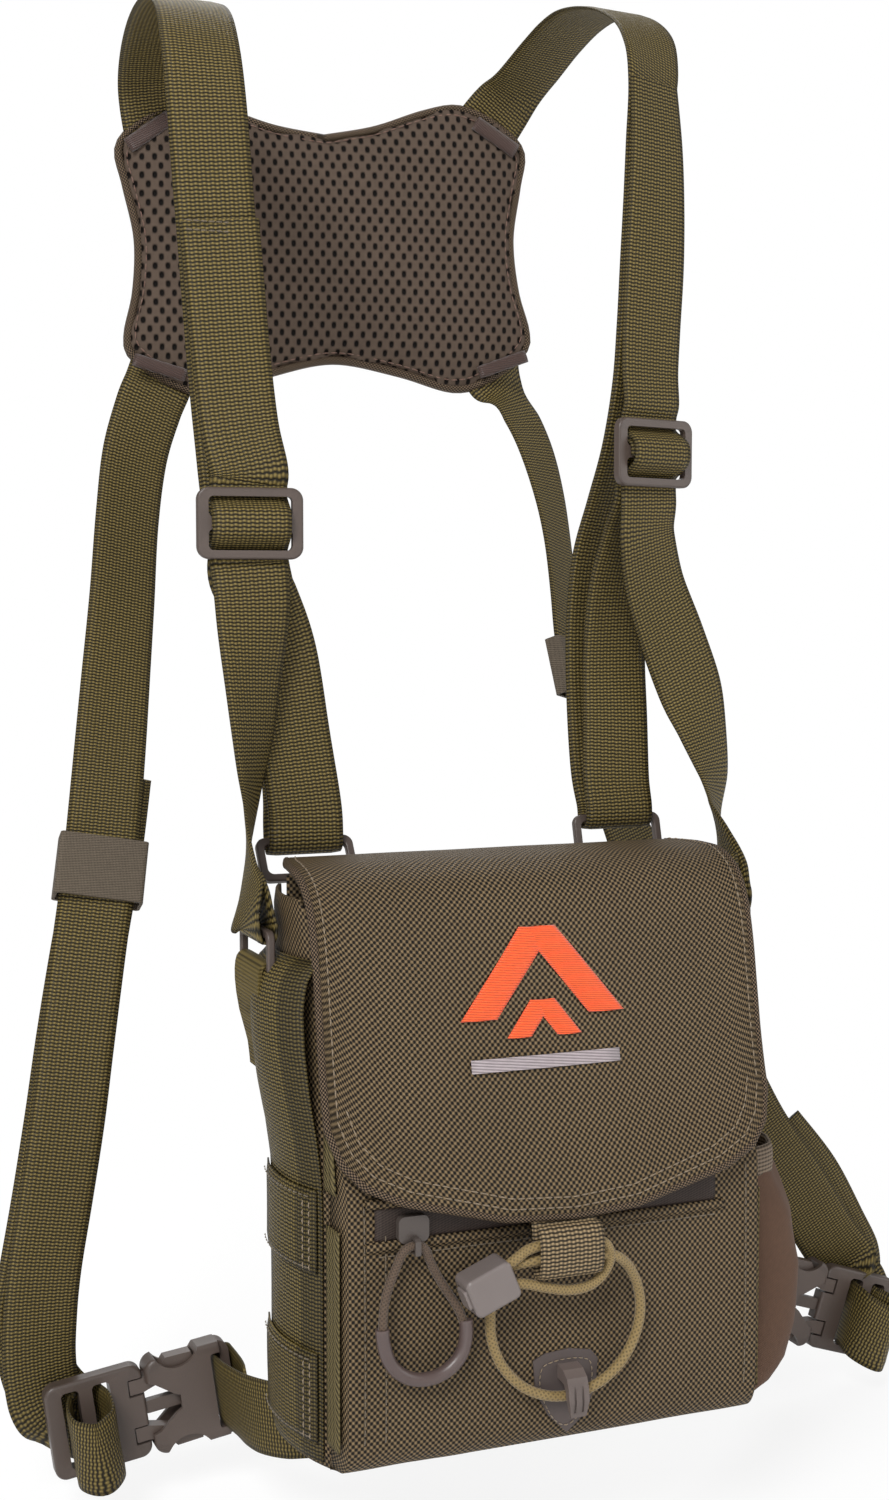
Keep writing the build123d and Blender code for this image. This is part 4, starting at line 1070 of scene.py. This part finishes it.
# A strip behind the fold keeps the case joined to the lid as it opens
fold_strip = slab("lid_fold_strip", lambda s, t: (lerp(65.5, -65.5, s), -4.3, lerp(79, 91.2, t)),
                  28, 14, 1.2, body=None)
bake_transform(fold_strip)

TAB_X = -3.4
TAB_FOLD = [
    (-76.6, -4), (-77.6, -9), (-78.6, -13.8), (-79.2, -18), (-79.3, -23), (-79.9, -26.8), (-82.0, -28.4),
    (-84.3, -26.8), (-85.1, -22), (-84.8, -16.8), (-83.3, -13.8), (-81.4, -13.0),
]
strap("lid_cord_tab", [(TAB_X, y, z) for y, z in TAB_FOLD], finish="tab_webbing", body="lid",
      replaces=["lid_tab"], width=21, thick=1.1, steps=5)


def lid_path(points, lift=0.25):
    """A path on the lid through (distance across, length from the fold), with its outward direction."""
    out = []
    for x, run in points:
        y, z = lid_point(run)
        n = Vector((0, *lid_outward(run)))
        out.append((Vector((x * min(1.0, lid_half(y) / LID_HALF), y, z)) + n * lift, n))
    return out


def hem_rows(inset):
    """Across the hem from corner to corner, an inset in from its edge."""
    across = [LID_HALF * bent(k / 48 - 1, 0.7) for k in range(97)]
    return [(x * (1 - inset / LID_HALF), hem_run(x) - inset) for x in across]


def edge_rows(side, inset, low=8.0):
    """Down one side of the lid from a length below its fold."""
    last = hem_run(LID_HALF) - inset
    return [(side * (LID_HALF - inset), lerp(low, last, k / 40)) for k in range(41)]


for word, inset in (("outer", 3.2), ("inner", 6.2)):
    stitches(f"lid_stitch_hem_{word}", lid_path(hem_rows(inset)), body="lid")
for side, word in SIDES:
    stitches(f"lid_stitch_{word}", lid_path(edge_rows(side, 3.4)), body="lid")

# ---- Emblem: two chevrons in satin stitch over a short bar ----------------------------------------------


def satin(name, low, high, wide, raised, finish="emblem", replaces=()):
    """One raised band of stitches between two points on the lid's front."""
    def face(s, t):
        x, z = lerp(low[0], high[0], t), lerp(low[1], high[1], t)
        y, _ = lid_point(lid_run_at(z))
        crown = math.sin(math.pi * min(max(s, 0.04), 0.96)) ** 0.5
        return (x + wide * (s - 0.5), y - 0.3 - raised * crown, z)
    slab(name, face, 8, 40, 0.5, finish, body="lid", replaces=replaces, flip=True)


PEAK = (-2, 73)
SMALL_PEAK = (-2, 51)
satin("emblem_left_slope", (-23.5, 46), PEAK, 12, 0.7, replaces=["lid_emblem"])
satin("emblem_right_slope", (19.5, 46), PEAK, 12, 0.9)
satin("emblem_small_left", (-10.5, 40), SMALL_PEAK, 8, 0.6)
satin("emblem_small_right", (6.5, 40), SMALL_PEAK, 8, 0.8)
satin("emblem_bar", (-2, 30.5), (-2, 34.5), 50, 0.5, finish="emblem_grey")

# ---- Padded pieces -------------------------------------------------------------------------------------

HALF_YOKE = [
    (0, 40), (20, 43.5), (40, 50), (54, 52), (68, 46), (78, 36), (76, 22), (72.5, 2), (74, -18), (78, -34),
    (76, -42), (62, -52), (48, -55.5), (26, -49), (0, -44),
]
YOKE_AT = (-9.4, 120.5, 308)
YOKE_TURN = math.radians(-9)
YOKE_TILT = math.radians(2)


def turned(a, b, angle):
    """Two coordinates turned by an angle."""
    return a * math.cos(angle) - b * math.sin(angle), a * math.sin(angle) + b * math.cos(angle)


def yoke_place(x, y, z):
    """From the yoke's own plane into the row frame."""
    x, z = turned(x, z, YOKE_TILT)
    x, y = turned(x, y, YOKE_TURN)
    return (YOKE_AT[0] + x, YOKE_AT[1] + y, YOKE_AT[2] + z)


def outline_points(half, count=160):
    """Evenly spaced points round a symmetric outline given by its right half."""
    full = half + [(-x, z) for x, z in reversed(half[1:-1])]
    rows = smooth(full + [full[0]], 8)
    run = [0.0]
    for a, b in zip(rows, rows[1:]):
        run.append(run[-1] + math.dist(a, b))
    across = [(length, x) for length, (x, _) in zip(run, rows)]
    up = [(length, z) for length, (_, z) in zip(run, rows)]
    places = [run[-1] * k / count for k in range(count)]
    return [(read_off(across, place), read_off(up, place)) for place in places]


PAD_SEAM = 2.2
PAD_RINGS = 14


def pad(name, outline, front, back, crown, place, replaces, finish="mesh", seed=0.0):
    """A stuffed pad: its faces swell from a flat sewn edge."""
    count = len(outline)
    points, faces, uvs = [], [], []
    middle = (front + back) / 2
    for side, level in ((-1, front), (1, back)):
        for r in range(PAD_RINGS + 1):
            scale = r / PAD_RINGS
            inwards = (1 - scale) * 60 - PAD_SEAM
            swell = math.sin(min(1.0, max(0.0, inwards) / 7.0) * math.pi / 2)
            depth = lerp(middle + side * min(1.9, (back - front) / 2), level, swell)
            depth += side * crown * (1 - scale ** 2)
            for x, z in outline:
                px, pz = x * scale, z * scale
                ripple = 0.35 * noise.noise(Vector((px * 0.05, pz * 0.05, seed + side)))
                points.append(place(px, depth + ripple * (1 - scale), pz))
                uvs.append((px, pz))
    per = (PAD_RINGS + 1) * count
    for base in (0, per):
        for r in range(PAD_RINGS):
            inner = base + r * count
            outer = inner + count
            for k in range(count):
                m = (k + 1) % count
                if r == 0:
                    faces.append((inner + k, outer + m, outer + k))
                else:
                    faces.append((inner + k, inner + m, outer + m, outer + k))
    edge = PAD_RINGS * count
    for k in range(count):
        m = (k + 1) % count
        faces.append((edge + k, edge + m, per + edge + m, per + edge + k))
    return piece(name, points, faces, uvs, finish, "pack", replaces)


YOKE_EDGE = outline_points(HALF_YOKE)
yoke_pad = pad("yoke_mesh_pad", YOKE_EDGE, -3.6, 2.0, 0.8, yoke_place, ["yoke_mesh", "yoke_foam"])


def yoke_hold(p):
    """0 at the yoke's sewn edge, 1 well inside it."""
    here = Vector((p.x - YOKE_AT[0], p.z - YOKE_AT[2]))
    inwards = min((here - Vector(edge)).length for edge in YOKE_EDGE[::4])
    return min(1.0, max(0.0, inwards - 4.0) / 8.0)


inflate(yoke_pad, yoke_hold, cap=1.6)
yoke_back = pad("yoke_back_cloth", YOKE_EDGE, 2.4, 5.6, 0.5, yoke_place, ["yoke_backing"], "pack_cloth",
                seed=3)

CHEST_HALF = [
    (0, 80), (40, 80), (56, 78.5), (64, 70), (66, 55), (66, 0), (66, -58), (64, -74), (56, -82.5),
    (40, -84), (0, -84),
]


def chest_hold(p):
    """0 at the chest pad's sewn edge, 1 well inside it."""
    return min(1.0, max(0.0, min(66 - abs(p.x), 80 - p.z, p.z + 84) - 3.0) / 10.0)


chest = pad("chest_pad_mesh", outline_points(CHEST_HALF), -5.7, -0.3, 0.1, lambda *place: place,
            ["chest_pad"], seed=7)
inflate(chest, chest_hold, cap=0.8)

# ---- Binding, bar tacks and seams ----------------------------------------------------------------------


def piping(name, path, radius, body="pack", closed=True, flat=1.0):
    """A folded edge binding along (point, outward) pairs; flat stretches it along the outward."""
    sides = 10
    points, uvs = [], []
    run = 0.0
    count = len(path)
    for k, (p, n) in enumerate(path):
        p, n = Vector(p), Vector(n).normalized()
        ahead = Vector(path[(k + 1) % count if closed else min(k + 1, count - 1)][0])
        behind = Vector(path[k - 1 if closed else max(k - 1, 0)][0])
        along = (ahead - behind).normalized()
        across = along.cross(n).normalized()
        if k:
            run += (p - Vector(path[k - 1][0])).length
        for m in range(sides):
            angle = TAU * m / sides
            points.append(p + across * (radius * math.cos(angle)) + n * (radius * flat * math.sin(angle)))
            uvs.append((radius * angle, run))
    faces = tube_faces(count, sides, closed=closed)
    return piece(name, points, faces, uvs, "binding", body)


lid_edge = edge_rows(-1, 0.4, 4.0) + hem_rows(0.4)[2:-2] + edge_rows(1, 0.4, 4.0)[::-1]
piping("lid_edge_fold", lid_path(lid_edge, lift=-1.05), 1.25, body="lid", closed=False, flat=1.1)

YOKE_FRONT = Vector(yoke_place(0, -10, 0)) - Vector(YOKE_AT)
yoke_rim = [(yoke_place(x * 0.985, 0.9, z * 0.985), YOKE_FRONT) for x, z in YOKE_EDGE]
piping("yoke_edge_binding", yoke_rim, 1.7, flat=1.9)
yoke_seam = [(yoke_place(x * 0.95, -2.6, z * 0.93), YOKE_FRONT) for x, z in YOKE_EDGE + YOKE_EDGE[:1]]
stitches("yoke_edge_stitches", yoke_seam, finish="bartack_thread", spacing=3.2, length=2.4)
TACKS = [(-66, 40, 19, 5, 34), (66, 40, 19, 5, -34), (-66, -46, 20, 4, -18), (66, -46, 20, 4, 18)]
for k, (x, z, wide, tall, degrees) in enumerate(TACKS):
    def tack(s, t, x=x, z=z, wide=wide, tall=tall, angle=math.radians(degrees)):
        px, pz = turned(wide * (s - 0.5), tall * (t - 0.5), angle)
        return yoke_place(x + px, -3.5 - 0.5 * math.sin(math.pi * t), z + pz)
    slab(f"yoke_bar_tack_{k + 1}", tack, 14, 6, 1.6, "bartack", flip=True)

POCKET_FRONT = [(z, y) for y, z in reversed(POCKET_LINE)]


def front_path(x0, z0, x1, z1, out=0.35, count=30):
    """A straight run on the front pocket's face."""
    path = []
    for k in range(count + 1):
        x, z = lerp(x0, x1, k / count), lerp(z0, z1, k / count)
        path.append(((x, read_off(POCKET_FRONT, z) - out, z), (0, -1, 0)))
    return path


def pocket_stitches(name, path, length=2.3):
    stitches(name, path, finish="thread_dull", spacing=2.9, length=length)


for x, word in ((-64.2, "left_outer"), (-57.6, "left_inner"), (64.2, "right_outer")):
    pocket_stitches(f"pocket_seam_{word}", front_path(x, -4, x, -78), length=2.2)
pocket_stitches("zip_seam_above", front_path(-60, -0.6, 54, -0.6, out=0.9))
pocket_stitches("zip_seam_below", front_path(-60, -19.6, 54, -19.6))

patch_box = [Vector(c) / MM for c in NODES["hook_patch"].bound_box]
PATCH_LOW = Vector([min(c[k] for c in patch_box) for k in range(3)])
PATCH_HIGH = Vector([max(c[k] for c in patch_box) for k in range(3)])
PATCH_LINE = [(0.0, 0.95), (0.5, 0.93), (0.86, 0.86), (0.93, 0.62), (0.74, 0.36), (0.4, 0.12), (0.0, 0.03)]
PATCH_INSET = 0.86


def patch_rows():
    """The stitch line round the hook's patch, a little inside its edge."""
    middle = (PATCH_LOW + PATCH_HIGH) / 2
    half = (PATCH_HIGH - PATCH_LOW) / 2 * PATCH_INSET
    side = [(half.x * x, middle.z + half.z * (2 * z - 1)) for x, z in PATCH_LINE]
    loop = side + [(-x, z) for x, z in reversed(side[:-1])]
    return [((middle.x + x, PATCH_LOW.y - 0.12, z), (0, -1, 0)) for x, z in smooth(loop, 6)]


stitches("hook_patch_stitches", patch_rows(), spacing=2.0, length=1.45, radius=0.2)

# ---- CAD nodes that keep their shape -------------------------------------------------------------------

BOTH = [word for _, word in SIDES]
PAIRED = ("triglide_{}", "buckle_frame_{}", "buckle_socket_{}", "prong_{}_upper", "prong_{}_lower",
          "top_ring_{}", "side_ring_{}")
KEPT = {
    "plastic": [name.format(word) for name in PAIRED for word in BOTH],
    "hook_plastic": ["gear_hook"],
    "patch": ["hook_patch"],
    "lock_plastic": ["cord_lock_barrel", "cord_lock_plunger"],
    "steel": ["cord_lock_spring"],
    "zip_metal": ["zip_slider"],
    "elastic_cad": [f"keeper_{word}" for word in BOTH],
    "webbing_cad": [name + word for name in ("ring_tab_", "side_loop_") for word in BOTH],
}
for finish, names in KEPT.items():
    for name in names:
        mesh = NODES[name].data
        mesh.materials.clear()
        mesh.materials.append(MAT[finish])
